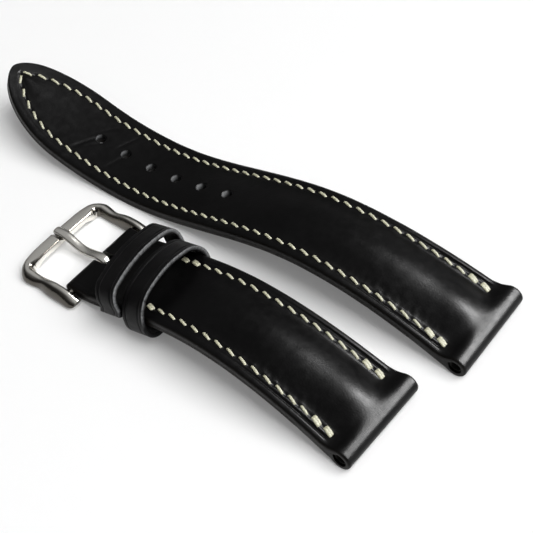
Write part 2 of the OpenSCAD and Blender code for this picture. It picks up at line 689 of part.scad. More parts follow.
// The spring bar: a tube with crimped ends, a tip at each end and a coil between them
tube_wall = 0.22;
lip_w = 0.3;
tube_half = frame_in - 0.1;
head_r = tube_r - tube_wall - 0.03;
head_len = 1.6;
tip_travel = 1.2;
module spring_bar_tube() {
    color(steel) at_pivot() rotate([90, 0, 0]) difference() {
        cylinder(r = tube_r, h = 2 * tube_half, center = true);
        cylinder(r = tube_r - tube_wall, h = 2 * (tube_half - lip_w), center = true);
        cylinder(r = tip_r + run_gap, h = 2 * tube_half + 2, center = true);
    }
}
module spring_bar_tip() {
    color(steel) at_pivot() rotate([-90, 0, 0]) {
        translate([0, 0, tube_half - lip_w - head_len - layer_gap]) cylinder(r = head_r, h = head_len);
        translate([0, 0, tube_half - lip_w - 0.1 - layer_gap])
            cylinder(r = tip_r, h = frame_in + tip_reach - tube_half + lip_w + 0.1 + layer_gap);
    }
}
module spring_bar_tip_left() {
    mirror([0, 1, 0]) spring_bar_tip();
}
module spring_bar_tip_right() {
    spring_bar_tip();
}
spring_turns = 12;
spring_steps = 8;
spring_sides = 6;
wire_r = 0.08;
coil_r = head_r - wire_r;
module spring_bar_spring() {
    half_len = tube_half - lip_w - head_len - 2 * layer_gap - wire_r;
    rings = spring_turns * spring_steps;
    function ring_point(i, k) =
        let (a = 360 * i / spring_steps, b = 360 * k / spring_sides, r = coil_r + wire_r * cos(b))
        [r * cos(a), -half_len + 2 * half_len * i / rings + wire_r * sin(b), r * sin(a)];
    points = [for (i = [0:rings]) for (k = [0:spring_sides - 1]) ring_point(i, k)];
    sides = [for (i = [0:rings - 1]) for (k = [0:spring_sides - 1])
        let (a = i * spring_sides + k, b = i * spring_sides + (k + 1) % spring_sides,
            c = a + spring_sides, d = b + spring_sides)
        each [[a, b, d], [a, d, c]]];
    ends = [for (k = [1:spring_sides - 2]) each [[0, k + 1, k],
        [rings * spring_sides, rings * spring_sides + k, rings * spring_sides + k + 1]]];
    color(steel) at_pivot() polyhedron(points, concat(sides, ends), convexity = 10);
}

long_top_leather();
long_padding();
long_lining();
long_lug_tape();
long_stitching_left();
long_stitching_right();
short_top_leather();
short_padding();
short_lining();
short_lug_tape();
short_stitching_left();
short_stitching_right();
fixed_keeper();
free_keeper();
free_keeper_thread();
buckle_frame();
buckle_tongue();
spring_bar_tube();
spring_bar_spring();
spring_bar_tip_left();
spring_bar_tip_right();
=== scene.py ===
# %% [markdown]
# # A padded leather watch strap
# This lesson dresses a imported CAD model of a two-piece watch strap. The frame holds every solid
# at its real size and place. Here each piece gets the shape and the finish that the eye sees:
# calf leather turned round its bars, waxed two-ply stitches, and a satin steel buckle.

# %% Load the frame
import bpy
from contextlib import contextmanager
from math import atan2, cos, pi, radians, sin, sqrt
import numpy as np
from mathutils import Matrix, Vector, noise


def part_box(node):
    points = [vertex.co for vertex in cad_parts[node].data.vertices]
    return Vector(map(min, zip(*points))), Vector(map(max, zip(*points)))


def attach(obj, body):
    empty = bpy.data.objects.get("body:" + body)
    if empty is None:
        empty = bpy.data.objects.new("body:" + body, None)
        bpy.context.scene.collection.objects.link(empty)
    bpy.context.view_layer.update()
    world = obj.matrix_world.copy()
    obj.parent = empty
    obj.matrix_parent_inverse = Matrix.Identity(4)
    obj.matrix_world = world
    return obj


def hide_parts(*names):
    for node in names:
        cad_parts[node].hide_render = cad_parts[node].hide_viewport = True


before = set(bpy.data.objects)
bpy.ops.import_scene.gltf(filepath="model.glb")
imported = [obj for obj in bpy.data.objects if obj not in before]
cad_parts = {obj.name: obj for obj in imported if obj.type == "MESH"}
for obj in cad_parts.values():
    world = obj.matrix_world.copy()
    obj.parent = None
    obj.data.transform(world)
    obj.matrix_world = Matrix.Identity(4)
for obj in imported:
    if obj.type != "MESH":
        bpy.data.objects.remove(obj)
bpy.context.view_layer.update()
mm = 0.001

# %% [markdown]
# ## The camera
# A product photograph like this one is taken from above with a long lens. A long lens keeps
# parallel edges nearly parallel. The camera is aimed at the middle of the pair, and turned a
# little about its own view line, as a hand-levelled camera is.

# %% Camera
camera_place = Vector((83.2, -104.9, 193.1)) * mm
camera_aim = Vector((-37.8, 17.6, -2.0)) * mm
camera_roll = radians(-7.69)
camera_lens = 93.76


def aim_camera():
    """A camera at its place, looking at its aim, turned about the view line."""
    forward = (camera_aim - camera_place).normalized()
    right = forward.cross(Vector((0, 0, 1))).normalized()
    up = right.cross(forward)
    turned_right = cos(camera_roll) * right + sin(camera_roll) * up
    turned_up = cos(camera_roll) * up - sin(camera_roll) * right
    bpy.ops.object.camera_add(location=camera_place)
    camera = bpy.context.object
    camera.name = "photo_camera"
    turn = Matrix((turned_right, turned_up, -forward)).transposed()
    camera.rotation_euler = turn.to_euler()
    camera.data.lens = camera_lens
    camera.data.clip_start = 5 * mm
    bpy.context.scene.camera = camera
    return camera


print("camera at", tuple(round(c / mm) for c in aim_camera().location), "mm")

# %% [markdown]
# ## How the strap lies
# Both halves are flat leather that was stitched and then curved. Every point of a half can be
# named by three numbers: its station along the underside from the spring-bar tunnel, its
# distance across from the centre line, and its height above the underside. The class below
# turns these three into a point in space, so each piece can be cut flat and then laid in place,
# as a strap maker would do it. Blender counts in metres. All sizes of the pieces are written in
# millimetres, and are turned into metres only where Blender is given them.

# %% Sizes shared by the pieces
lug_w = 20
tail_w = 17.5
long_len = 118.5
short_len = 66
taper_len = 50
tip_len = 20
skin_t = 1.2
lining_t = 1.1
edge_t = skin_t + lining_t
tunnel_r = 1.0
tape_t = 0.3
roll_t = 0.82
roll_r = tunnel_r + tape_t + 0.03 + roll_t
roll_rise = 2 * roll_r - edge_t
roll_blend = 4.2
tube_r = 0.75
fold_t = 0.8
flap_t = 0.52
fold_r = tube_r + 0.03 + fold_t
fold_rise = 2 * fold_r - edge_t
fold_blend = 5
turn_in = 9.5
buckle_turn_in = 16
layer_gap = 0.02
pad_gap = 0.1
pad_crown = 1.7
flat_crown = 0.25
lug_hump = 0.5
row_inset = 2.6
row_flat = 0.85
stitch_pitch = 2.65
stitch_len = 1.95
stitch_start = 6.5
row_to_tip = 2.3
hole_r = 1.0
hole_pitch = 6.85
first_hole = 58.8
holes = first_hole - roll_r + hole_pitch * np.arange(6)
slot_half = 1.35
slot_back = 2.9
pivot_h = 1.7
edge_round = 0.35
lining_round = 0.3
keeper_round = 0.2
table_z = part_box("buckle_frame")[0].z / mm
pivot = sum(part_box("spring_bar_tube"), Vector()) / 2 / mm
print("table at %.2f mm, spring bar at x %.2f mm" % (table_z, pivot.x))


# %% Curves along a half
def fade(x):
    """Runs smoothly from 0 to 1."""
    t = np.clip(x, 0, 1)
    return t * t * (3 - 2 * t)


def bump_at(x, middle, half_wide):
    """A soft hump of height 1 around a place."""
    return np.exp(-(((x - middle) / half_wide) ** 2))


def rise_between(a, b, s):
    length = b[0] - a[0]
    t = (s - a[0]) / length
    return ((2 * t**3 - 3 * t**2 + 1) * a[1] + (t**3 - 2 * t**2 + t) * length * a[2]
            + (3 * t**2 - 2 * t**3) * b[1] + (t**3 - t**2) * length * b[2])


def slope_between(a, b, s):
    length = b[0] - a[0]
    t = (s - a[0]) / length
    return ((6 * t**2 - 6 * t) * (a[1] - b[1]) / length + (3 * t**2 - 4 * t + 1) * a[2]
            + (3 * t**2 - 2 * t) * b[2])


def along(knots, s, rule):
    """Follows a chain of knots, each a station with its height and slope."""
    value = rule(knots[0], knots[1], s)
    for a, b in zip(knots[1:], knots[2:]):
        value = np.where(s > a[0], rule(a, b, s), value)
    return value


def smooth_noise(points, scale, seed):
    """Soft noise from -1 to 1 at each point, the same in every run."""
    shift = Vector((seed * 7.3, seed * 3.1, seed * 5.7))
    return np.array([noise.noise(Vector(p) * scale + shift) for p in points])


# %% The two halves
class StrapHalf:
    """One half of the strap: its side view, its widths and its place on the table."""

    def __init__(self, name, length, profile, tip, turn, place):
        self.name, self.path, self.profile, self.tip = name, length - roll_r, profile, tip
        self.length = length
        step = 0.5
        steps = np.arange(0, self.path + 3 * step, step)
        slopes = self.slope(steps[:-1] + step / 2)
        self.table = steps, np.append(0, np.cumsum(step * np.sqrt(1 - slopes**2)))
        self.turn, self.shift = turn, np.array(place)
        self.row_far_at = length - tip_len if tip else self.row_length()
        self.pad_out = (first_hole - 4 if tip else self.row_length() - 1) - roll_r

    def row_length(self):
        """Where the short half's rows end, just before the leather turned in from the buckle."""
        return self.length - buckle_turn_in - 0.05 - stitch_len / 2

    def rise(self, s):
        return along(self.profile, s, rise_between)

    def slope(self, s):
        return along(self.profile, s, slope_between)

    def width(self, s):
        """Half the width at a station."""
        from_lug = s + roll_r
        still_wide = np.maximum(0, 1 - np.maximum(0, from_lug) / taper_len)
        w = tail_w / 2 + (lug_w - tail_w) / 2 * still_wide**2
        if self.tip:
            d = np.maximum(0.0015, (self.length - from_lug) / tip_len)
            w = w * np.where(d >= 1, 1, (1 - (1 - np.minimum(d, 1)) ** 2) ** 0.55)
        return w

    def row(self, s):
        """Distance of a stitch row from the centre line."""
        near, far = lug_w / 2 - row_inset, tail_w / 2 - row_inset
        from_lug = s + roll_r
        row = near + (far - near) * np.minimum(1, from_lug / self.row_far_at)
        if self.tip:
            d = np.clip((self.length - row_to_tip - from_lug) / (0.85 * tip_len), 0, 1)
            row = row * (1 - (1 - d) ** 2) ** 0.83
        return row

    def dome_edge(self, s):
        return np.maximum(self.row(s) - row_flat, 0.2 * self.width(s))

    def crown(self, s):
        share = fade((s - 0.42 * self.pad_out) / (0.58 * self.pad_out))
        return flat_crown + (pad_crown - flat_crown) * (1 - share)

    def lug_share(self, s):
        turn = 0.7 * roll_r
        depth = sqrt(roll_r**2 - turn**2)
        leaves = [turn, 1 - (roll_r - depth) / roll_rise, -turn / depth / roll_rise]
        circle = 1 - (roll_r - np.sqrt(roll_r**2 - np.clip(s, 0, turn) ** 2)) / roll_rise
        fillet = rise_between(leaves, [roll_blend, 0, 0], np.clip(s, turn, roll_blend))
        return np.where(s <= turn, circle, fillet)

    def fold_share(self, s):
        return s * 0 if self.tip else fade(1 - (self.path - s) / fold_blend)

    def lift(self, s, v):
        """Height of the outer surface over the flat edge: padding, lug roll and buckle fold."""
        c, k, f = self.dome_edge(s), self.lug_share(s), self.fold_share(s)
        full = fade((self.row(s) - row_flat) / row_flat)
        crown = self.crown(s) + lug_hump * bump_at(s, 5.5, 4)
        dome = full * crown * np.clip(1 - (v / c) ** 2, 0, 1) ** 1.4
        return dome * (1 - k) * (1 - f) + roll_rise * k + fold_rise * f

    def inner_height(self, s, v):
        fill = 1 - fade((s - self.pad_out + 4) / 4)
        share = self.fold_share(s)
        return (lining_t + layer_gap + self.lug_share(s) * (skin_t - roll_t)
                + share * (skin_t - fold_t) + self.lift(s, v) * np.maximum(fill, share))

    def up(self, s):
        a = np.arcsin(self.slope(s))
        return np.sin(a), np.cos(a)

    def under(self, s):
        up0 = self.up(np.zeros(1))
        return -roll_r * up0[0] - np.interp(s, *self.table), self.rise(s) - roll_r

    def on_table(self, x, y, z):
        """Turns a half's own point to its place beside the other half."""
        c, d = cos(self.turn), sin(self.turn)
        return np.stack([c * x - d * y + self.shift[0], d * x + c * y + self.shift[1], z], -1)

    def place(self, s, v, h):
        """Points in space from stations, distances across and heights."""
        (x, z), (ux, uz) = self.under(s), self.up(s)
        start = self.path - 1.5 * tip_len
        drift = 1.3 * np.maximum(0, (s - start) / (1.5 * tip_len)) ** 2 if self.tip else 0
        return self.on_table(x + h * ux, v + drift, z + h * uz)

    def point(self, s, v, h):
        return self.place(np.array([s]), v, h)[0]

    def round_bar(self, s, way, angle, radius, out, v):
        """A point turned round a bar: 0 degrees is up, and way says which side it goes round."""
        (x, z), (ux, uz) = self.under(np.full_like(angle, s)), self.up(np.full_like(angle, s))
        cx, cz = x + radius * ux, z + radius * uz
        dx = ux * np.cos(angle) + way * uz * np.sin(angle)
        dz = uz * np.cos(angle) - way * ux * np.sin(angle)
        return self.on_table(cx + out * dx, v, cz + out * dz)


def pitched(height_from, degrees):
    return height_from * (1 - cos(radians(degrees))), sin(radians(degrees))


long_pitch, short_pitch, buckle_pitch, tip_pitch = 21, 23.5, 12.5, 25
long_start, long_slope = pitched(roll_r, long_pitch)
short_start, short_slope = pitched(roll_r, short_pitch)
buckle_end = pivot_h - fold_r * cos(radians(buckle_pitch))
long_half = StrapHalf("long", long_len, [
    [0, long_start, long_slope], [36 - roll_r, 7.2, 0],
    [79 - roll_r, layer_gap, 0],
    [long_len - roll_r, 10.1, sin(radians(tip_pitch))]],
    True, radians(2.4), (4.4, 26.6))
short_half = StrapHalf("short", short_len, [
    [0, short_start, short_slope], [33 - roll_r, 7.3, 0],
    [short_len - roll_r, buckle_end, -sin(radians(buckle_pitch))]],
    False, 0.0, (0.0, 0.0))
tip_point = long_half.point(long_half.path, 0.0, edge_t)
print("tip of the long half at", tip_point.round(1), "mm")

# %% [markdown]
# ## Cutting leather
# Each leather piece starts as a grid. The grid's points are moved to the outline of the flat
# cut, and the cut is extruded in three steps, so that its side has rows for a rounded edge.
# Cutting flat first makes the punched holes easy: they go straight through flat leather.


# %% Bench helpers
def choose(*objects):
    """Makes these the only selected objects, and the last one active."""
    bpy.ops.object.select_all(action="DESELECT")
    for o in objects:
        o.select_set(True)
    bpy.context.view_layer.objects.active = objects[-1]


@contextmanager
def editing(piece, action="SELECT"):
    """Edit mode on one piece, with everything or nothing selected at the start."""
    choose(piece)
    bpy.ops.object.mode_set(mode="EDIT")
    bpy.ops.mesh.select_all(action=action)
    yield
    bpy.ops.object.mode_set(mode="OBJECT")


def pick(piece, kind, test):
    """Selects only the edges or faces that pass a test, and stays in edit mode."""
    with editing(piece, "DESELECT"):
        bpy.ops.mesh.select_mode(type=kind)
    for part in piece.data.edges if kind == "EDGE" else piece.data.polygons:
        part.select = test(part)
    bpy.ops.object.mode_set(mode="EDIT")


def face_outwards():
    """Turns every face of the closed mesh in edit mode outwards."""
    bpy.ops.mesh.select_all(action="SELECT")
    bpy.ops.mesh.normals_make_consistent(inside=False)


def copy_of(piece):
    copy = piece.copy()
    copy.data = piece.data.copy()
    bpy.context.scene.collection.objects.link(copy)
    return copy


def join_as(name, pieces):
    choose(*pieces)
    bpy.ops.object.join()
    return named(name)


def throw_away(piece):
    bpy.data.objects.remove(piece, do_unlink=True)


def points_of(piece):
    co = np.empty(len(piece.data.vertices) * 3)
    piece.data.vertices.foreach_get("co", co)
    return co.reshape(-1, 3) / mm


def move_points(piece, co):
    piece.data.vertices.foreach_set("co", np.ascontiguousarray(co * mm, float).ravel())
    piece.data.update()


def named(name):
    piece = bpy.context.object
    piece.name = piece.data.name = name
    return piece


def cut_flat(name, stations, across, thick, side=edge_round):
    """A flat blank. Row i lies at stations[i] and has its points at across[i]."""
    rows, cols = across.shape
    bpy.ops.object.select_all(action="DESELECT")
    bpy.ops.mesh.primitive_grid_add(x_subdivisions=rows - 1, y_subdivisions=cols - 1, size=2 * mm)
    piece = named(name)
    co = points_of(piece)
    i = np.rint((co[:, 0] + 1) / 2 * (rows - 1)).astype(int)
    j = np.rint((co[:, 1] + 1) / 2 * (cols - 1)).astype(int)
    move_points(piece, np.stack([stations[i], across[i, j], 0 * stations[i]], -1))
    with editing(piece):
        for step in (side, thick - 2 * side, side):
            bpy.ops.mesh.extrude_region_move(TRANSFORM_OT_translate={"value": (0, 0, step * mm)})
        face_outwards()
    return piece


def mirrored(right):
    """Columns from one edge to the other, from those on the right of the centre line."""
    return np.concatenate([-right[:, ::-1], 0 * right[:, :1], right], 1)


def steps_to(start, marks, counts):
    """Points that run from start through the marks, with a number of steps to each."""
    return np.concatenate([
        a[:, None] + (b - a)[:, None] * np.arange(1, n + 1) / n
        for a, b, n in zip([start, *marks], marks, counts)], 1)


def round_edges(x, v, z, thick, half_wide, ends, radius=edge_round, faces="both"):
    """Pulls the corner rows in, so that they make a rounded edge on one face or on both."""
    touch = 0.0002
    pull = (1 - cos(radians(45))) * np.minimum(radius, 0.25 * half_wide)
    on_face = ((z < touch) & (faces != "top")) | ((z > thick - touch) & (faces != "under"))
    at_side = np.abs(v) > 0.99 * half_wide
    at_end = (x < ends[0] + touch) | (x > ends[1] - touch)
    x = np.where(on_face & at_end, x + np.where(x < sum(ends) / 2, pull, -pull), x)
    corner = on_face & (at_side | at_end)
    v = np.where(on_face & at_side, v - np.sign(v) * pull, v)
    z = np.where(corner, np.where(z < thick / 2, z + pull, z - pull), z)
    return x, v, z


def paint(piece, name, values):
    """Keeps a value at each point, for a material to read."""
    layer = piece.data.attributes.new(name, "FLOAT", "POINT")
    layer.data.foreach_set("value", np.ascontiguousarray(values, float))


def finish_mesh(piece, smooth_to=50):
    choose(piece)
    bpy.ops.object.shade_smooth_by_angle(angle=radians(smooth_to))
    print(f"{piece.name}: {len(piece.data.vertices)} points, {len(piece.data.polygons)} faces")
    return piece


# %% [markdown]
# ## Punching
# A strap punch cuts a clean hole and rolls the grain side slightly over its rim. The cutter is
# a cylinder whose top flares, and a Boolean takes it away from the flat blank.


# %% The punch
def punch(piece, offset, flare, thick):
    """Punches the row of holes, each with a rolled rim, that far along a flat strip."""
    low, high, wide = -1, thick - flare, (hole_r + flare) / hole_r
    cutters = []
    for x in offset + holes:
        bpy.ops.object.select_all(action="DESELECT")
        bpy.ops.mesh.primitive_cylinder_add(
            vertices=40, radius=hole_r * mm, depth=(high - low) * mm,
            location=Vector((x, 0, (low + high) / 2)) * mm)
        cutter = bpy.context.object
        pick(cutter, "FACE", lambda face: face.normal.z > 0.9)
        bpy.ops.mesh.extrude_region_move(TRANSFORM_OT_translate={"value": (0, 0, flare * mm)})
        bpy.ops.transform.resize(
            value=(wide, wide, 1), center_override=Vector((x, 0, thick)) * mm)
        bpy.ops.mesh.extrude_region_move(TRANSFORM_OT_translate={"value": (0, 0, mm)})
        bpy.ops.object.mode_set(mode="OBJECT")
        cutters.append(cutter)
    take_away(piece, join_as("punches", cutters))


def take_away(piece, cutter):
    """Takes the cutter away from the piece with an exact Boolean, and throws the cutter away."""
    choose(piece)
    cut = piece.modifiers.new("cut", "BOOLEAN")
    cut.operation, cut.solver, cut.object = "DIFFERENCE", "EXACT", cutter
    bpy.ops.object.modifier_apply(modifier="cut")
    throw_away(cutter)


def box_cutter(low, high):
    bpy.ops.object.select_all(action="DESELECT")
    low, high = Vector(low) * mm, Vector(high) * mm
    bpy.ops.mesh.primitive_cube_add(size=1, location=(low + high) / 2, scale=high - low)
    bpy.ops.object.transform_apply(location=True, rotation=False, scale=True)
    return bpy.context.object


# %% [markdown]
# ## Outer leather
# The outer leather is one strip. It is turned under at the watch end, where it rolls round the
# spring-bar tunnel, and on the short half also round the buckle's bar. The flat strip's length
# runs through all of these, so one rule lays the strip: flat under, round the bar, over the
# top, and round the next bar.

# %% Columns and stations of the outer leather
def columns(half, s, zone, counts):
    """Points across a strip, close together in the zone of the stitch row and at the edge."""
    w, row = half.width(s), half.row(s)
    r = np.minimum(edge_round, 0.25 * w)
    inner = np.maximum(row - zone, 0.25 * w)
    outer = np.minimum(np.maximum(row + zone, 0.6 * w), w - 1.6 * r)
    return mirrored(steps_to(0 * w, (inner, outer, w - r, w), counts))


def tip_steps(half, count):
    """Stations that draw together towards the pointed end."""
    return half.path - tip_len * np.linspace(1, 0, count) ** 1.6


roll_arc = pi * roll_r
fold_arc = pi * fold_r
rolled = turn_in + roll_arc


def skin_stations(half):
    """Distances along the flat strip, and the station of each on its half."""
    flap = np.concatenate([[0, edge_round], np.linspace(1, turn_in, 12)])
    roll = turn_in + roll_arc * np.arange(1, 25) / 24
    if half.tip:
        top = np.concatenate([
            np.arange(0.25, half.path - tip_len, 0.3), tip_steps(half, 75)])
        return np.concatenate([flap, roll, rolled + top])
    top = np.arange(0.25, half.path, 0.3)
    fold = rolled + half.path + fold_arc * np.arange(0, 21) / 20
    end = rolled + half.path + fold_arc + buckle_turn_in
    back = np.concatenate([np.linspace(fold[-1], end - edge_round, 26)[1:], [end]])
    return np.concatenate([flap, roll, rolled + top, fold, back])


def station_of(half, t):
    """The station on a half that lies under or over a distance along the flat strip."""
    s = np.where(t < turn_in, turn_in - t, np.where(t < rolled, 0, t - rolled))
    if not half.tip:
        past = t - rolled - half.path
        s = np.where(past > 0, half.path - np.maximum(0, past - fold_arc), s)
    return s


# %% [markdown]
# ## The marks on the leather
# What makes leather look like leather at this size is small: a shallow channel that the thread
# is pulled into, a dip where each stitch goes down, creases where the tail has been bent, a
# pressed line along the edge, and puckers where the padding is drawn in.


# %% Where the stitches are
def stitch_count(half):
    last = half.length - row_to_tip - stitch_len / 2 if half.tip else half.row_length()
    return 1 + int((last - stitch_start) / stitch_pitch + 1e-9)


def stitch_stations(half):
    return stitch_start - roll_r + stitch_pitch * np.arange(stitch_count(half))


channel_deep = 0.1
dip_deep = 0.16


def stitch_marks(half, s, v):
    """Depth of the channel along a row and of the dips between its stitches."""
    side = np.abs(v) - half.row(s)
    at = stitch_stations(half)
    first, last = at[0] - stitch_pitch / 2, at[-1] + stitch_pitch / 2
    within = fade((s - first) / 0.6) * fade((last - s) / 0.6 + 0.5)
    channel = channel_deep * bump_at(side, 0, 0.5)
    phase = (s - first) / stitch_pitch
    from_hole = (phase - np.rint(phase)) * stitch_pitch
    dips = dip_deep * np.exp(-(from_hole / 0.32) ** 2 - (side / 0.34) ** 2)
    return within * (channel + dips)


def long_creases(s, v):
    """Bends that the tail has kept round the first holes, and puckers near the lug."""
    depth = 0 * s
    for where, side, lean, deep in (
            (holes[5] + 0.6, -1, 0.55, 0.2), (holes[5] - 1.6, -1, 0.9, 0.13),
            (holes[4] + 2.6, 1, -0.35, 0.13), (holes[4] - 0.4, -1, 0.35, 0.14),
            (holes[5] + 2.2, 1, -0.7, 0.06), (holes[3] + 1.4, 1, 0.25, 0.04)):
        line = s - where - side * lean * v
        reach = fade(side * v / 1.2 + 0.3) * fade((6.2 - np.abs(v)) / 2.5)
        depth = depth + deep * bump_at(line, 0, 0.28) * reach
    return depth


def puckers(half, s, v, co):
    """Tiny wrinkles along the inner side of a row, where the padding is drawn in."""
    place = bump_at(np.abs(v), half.row(s) - 1.5, 0.9)
    place = place * fade((s - 5) / 3) * fade((27 - s) / 8)
    wave = (smooth_noise(co, 1.1, 4) + 0.6 * smooth_noise(co, 2.3, 8)) * (v < 0)
    return 0.14 * place * wave


def edge_lines(half, s, v):
    """A pressed groove beside each edge, deepest near the lug, and the bead outside it."""
    from_edge = half.width(s) - np.abs(v)
    past_roll = fade((s - 3.2) / 1.5)
    near_lug = 0.1 + 0.9 * fade((32 - s) / 22)
    groove = 0.34 * bump_at(from_edge, 1.35, 0.26) * near_lug
    bead = 0.2 * np.clip(1 - from_edge / 1.2, 0, 1) ** 2
    size = fade(half.width(s) / 4 - 1)
    return (groove + bead) * past_roll * size


# %% Laying the leather
def edge_share(half, s, v):
    """0 inside the strap and 1 in the outermost strip, where turned leather is pressed shut."""
    return fade((np.abs(v) - half.width(s) + 0.62) / 0.2)


def pressed_shut(from_bar, bar_r, hollow, seam_len):
    """Heights of the two leathers that meet beside a bar: round its hollow, then one seam."""
    arch = np.sqrt(np.maximum(0, hollow**2 - from_bar**2))
    fall = fade((from_bar - hollow) / seam_len)
    seam = bar_r * (1 - fall) + lining_t * fall
    beside = from_bar < hollow
    return np.where(beside, bar_r - arch, seam), np.where(beside, bar_r + arch, seam + layer_gap / 2)


def lay_skin(half, piece, thick, seed):
    """Lays the flat strip on its half: under, round the tunnel, over, and round the bar."""
    flat = points_of(piece)
    ends = flat[:, 0].min(), flat[:, 0].max()
    w_at = half.width(station_of(half, flat[:, 0]))
    t, v, z = round_edges(*flat.T, thick, w_at, ends, faces="top")
    s, depth = station_of(half, t), (thick - z) / thick
    shut = edge_share(half, s, v)
    marks = stitch_marks(half, s, v) + edge_lines(half, s, v) + puckers(half, s, v, flat)
    if half.tip:
        marks = marks + long_creases(s, v)
    waves = 0.03 * smooth_noise(flat, 0.26, seed) + 0.01 * smooth_noise(flat, 0.9, seed + 1)
    high = edge_t + half.lift(s, v) - marks + waves * (1 - half.lug_share(s) * 0.5)
    flap_top, inner = pressed_shut(s, roll_r, roll_r - roll_t, 1.5)
    low = half.inner_height(s, v)
    low = np.where(s < turn_in, low + (inner - low) * shut, low)
    flap_top = roll_t + (flap_top - roll_t) * shut
    turn = pi * (1 - (t - turn_in) / roll_arc)
    rolled_up = half.round_bar(0.0, 1, turn, roll_r, roll_r - depth * roll_t, v)
    if not half.tip:
        back_top, inner = pressed_shut(half.path - s, fold_r, fold_r - fold_t, 2.12)
        low = np.where(half.path - s < slot_back, low + (inner - low) * shut, low)
    over = half.place(s, v, high - (high - low) * depth)
    under = half.place(s, v, depth * flap_top)
    co = np.where((t < turn_in)[:, None], under, np.where((t < rolled)[:, None], rolled_up, over))
    if not half.tip:
        past = t - rolled - half.path
        angle = pi * np.clip(past / fold_arc, 0, 1)
        bent = half.round_bar(half.path, -1, angle, fold_r, fold_r - depth * fold_t, v)
        back_t = flap_t + (fold_t - flap_t) * fade((s - half.path + 4.6) / 1.2)
        back_t = np.where(half.path - s < slot_back, back_t + (back_top - back_t) * shut, back_t)
        back = half.place(s, v, depth * back_t)
        co = np.where((past > 0)[:, None], np.where((past < fold_arc)[:, None], bent, back), co)
    move_points(piece, co)
    cut_side = (np.abs(flat[:, 1]) > 0.99 * w_at) | (flat[:, 0] < ends[0] + 0.001)
    paint(piece, "burnished", cut_side)
    # The holes' walls show the pale cut fibre only on their lit side: a painted highlight.
    paint(piece, "raw", hole_wall_highlight(s, v) * (z > 0.3) * half.tip)


# %% Cut, punch and lay the outer leathers
def hole_wall_highlight(s, v):
    """1 on the lit side of each punched hole's wall, as a painted highlight, and near 0 elsewhere."""
    return np.max([(np.hypot(s - x, v) < hole_r + 0.03)
                   * (0.06 + 0.94 * fade(1.6 * (s - x) - 0.5)) for x in holes], axis=0)


def outer_leather(half):
    t = skin_stations(half)
    across = columns(half, station_of(half, t), 0.95, (14, 13, 9, 1))
    piece = cut_flat(f"{half.name}_outer_leather", t, across, skin_t)
    if half.tip:
        punch(piece, rolled, 0.18, skin_t)
    else:
        start, end = rolled + half.path - slot_back, rolled + half.path + fold_arc + slot_back
        take_away(piece, box_cutter((start, -slot_half, -1), (end, slot_half, 3)))
    lay_skin(half, piece, skin_t, 1 if half.tip else 5)
    return finish_mesh(piece)


long_outer = outer_leather(long_half)
short_outer = outer_leather(short_half)

# %% [markdown]
# ## Lining
# The lining is a second strip under the first. It starts where the turned-in leather ends, and
# it has a groove under each row, so that the thread lies flush against the wrist. It is notched
# where the fixed keeper's ends go in, so the sizes of both keepers come first. Hand-bent keepers
# never stand quite square, so each has a small turn about the strap and a lean along it.

# %% Sizes of the keepers
keeper_t = 0.95
fold_to_fixed, fixed_w, keeper_gap, free_w = 9.4, 5.1, 0.2, 5.3
fixed_plan = {
    "at": short_half.path - fold_to_fixed - fixed_w / 2, "width": fixed_w, "gap": 0.6,
    "base": lining_t - 0.04, "base_t": 0.5, "top": edge_t + 4.7,
    "low_r": 1.1, "high_r": 3.5, "crown_r": 30, "opening": 6,
    "turn": 0.12, "lean": 0.125, "lean_from": 1, "sewn": True}
free_plan = {
    "at": fixed_plan["at"] - (fixed_w + free_w) / 2 - keeper_gap, "width": free_w, "gap": 0.35,
    "base": -3, "base_t": keeper_t, "top": edge_t + 3.9,
    "low_r": 3.8, "high_r": 6.3, "crown_r": 20, "opening": 0.12,
    "turn": 0.076, "lean": -0.067, "lean_from": 0, "sewn": False}


def keeper_turn(plan, side, h):
    """How far a keeper is turned. The sewn one stays square low down on its near side."""
    held = (side < 0) & plan["sewn"]
    return plan["turn"] * np.where(held, fade((h - 0.5) / 2.5), 1)


# %% Lining strips
def lay_lining(half, piece):
    flat = points_of(piece)
    ends = flat[:, 0].min(), flat[:, 0].max()
    w_at = half.width(flat[:, 0])
    s, v, z = round_edges(*flat.T, lining_t, w_at, ends, lining_round, "under")
    groove = 0.36 * bump_at(np.abs(v) - half.row(s), 0, 0.42)
    at = stitch_stations(half)
    groove = groove * fade(s - 8) * (s < at[-1] + stitch_len)
    grain = 0.03 * smooth_noise(flat, 0.5, 9)
    low = groove + grain * (np.abs(half.rise(s)) > 0.3)
    if not half.tip:
        over_flap = fade((s - (half.path - buckle_turn_in) + 0.3) / 0.3)
        low = low * (1 - over_flap) + over_flap * (flap_t + layer_gap)
    move_points(piece, half.place(s, v, low + (lining_t - low) * z / lining_t))
    paint(piece, "burnished", np.abs(flat[:, 1]) > 0.99 * w_at)
    # The lining's hole walls take a faint share of the same painted highlight.
    paint(piece, "raw", 0.15 * hole_wall_highlight(s, v) * half.tip)


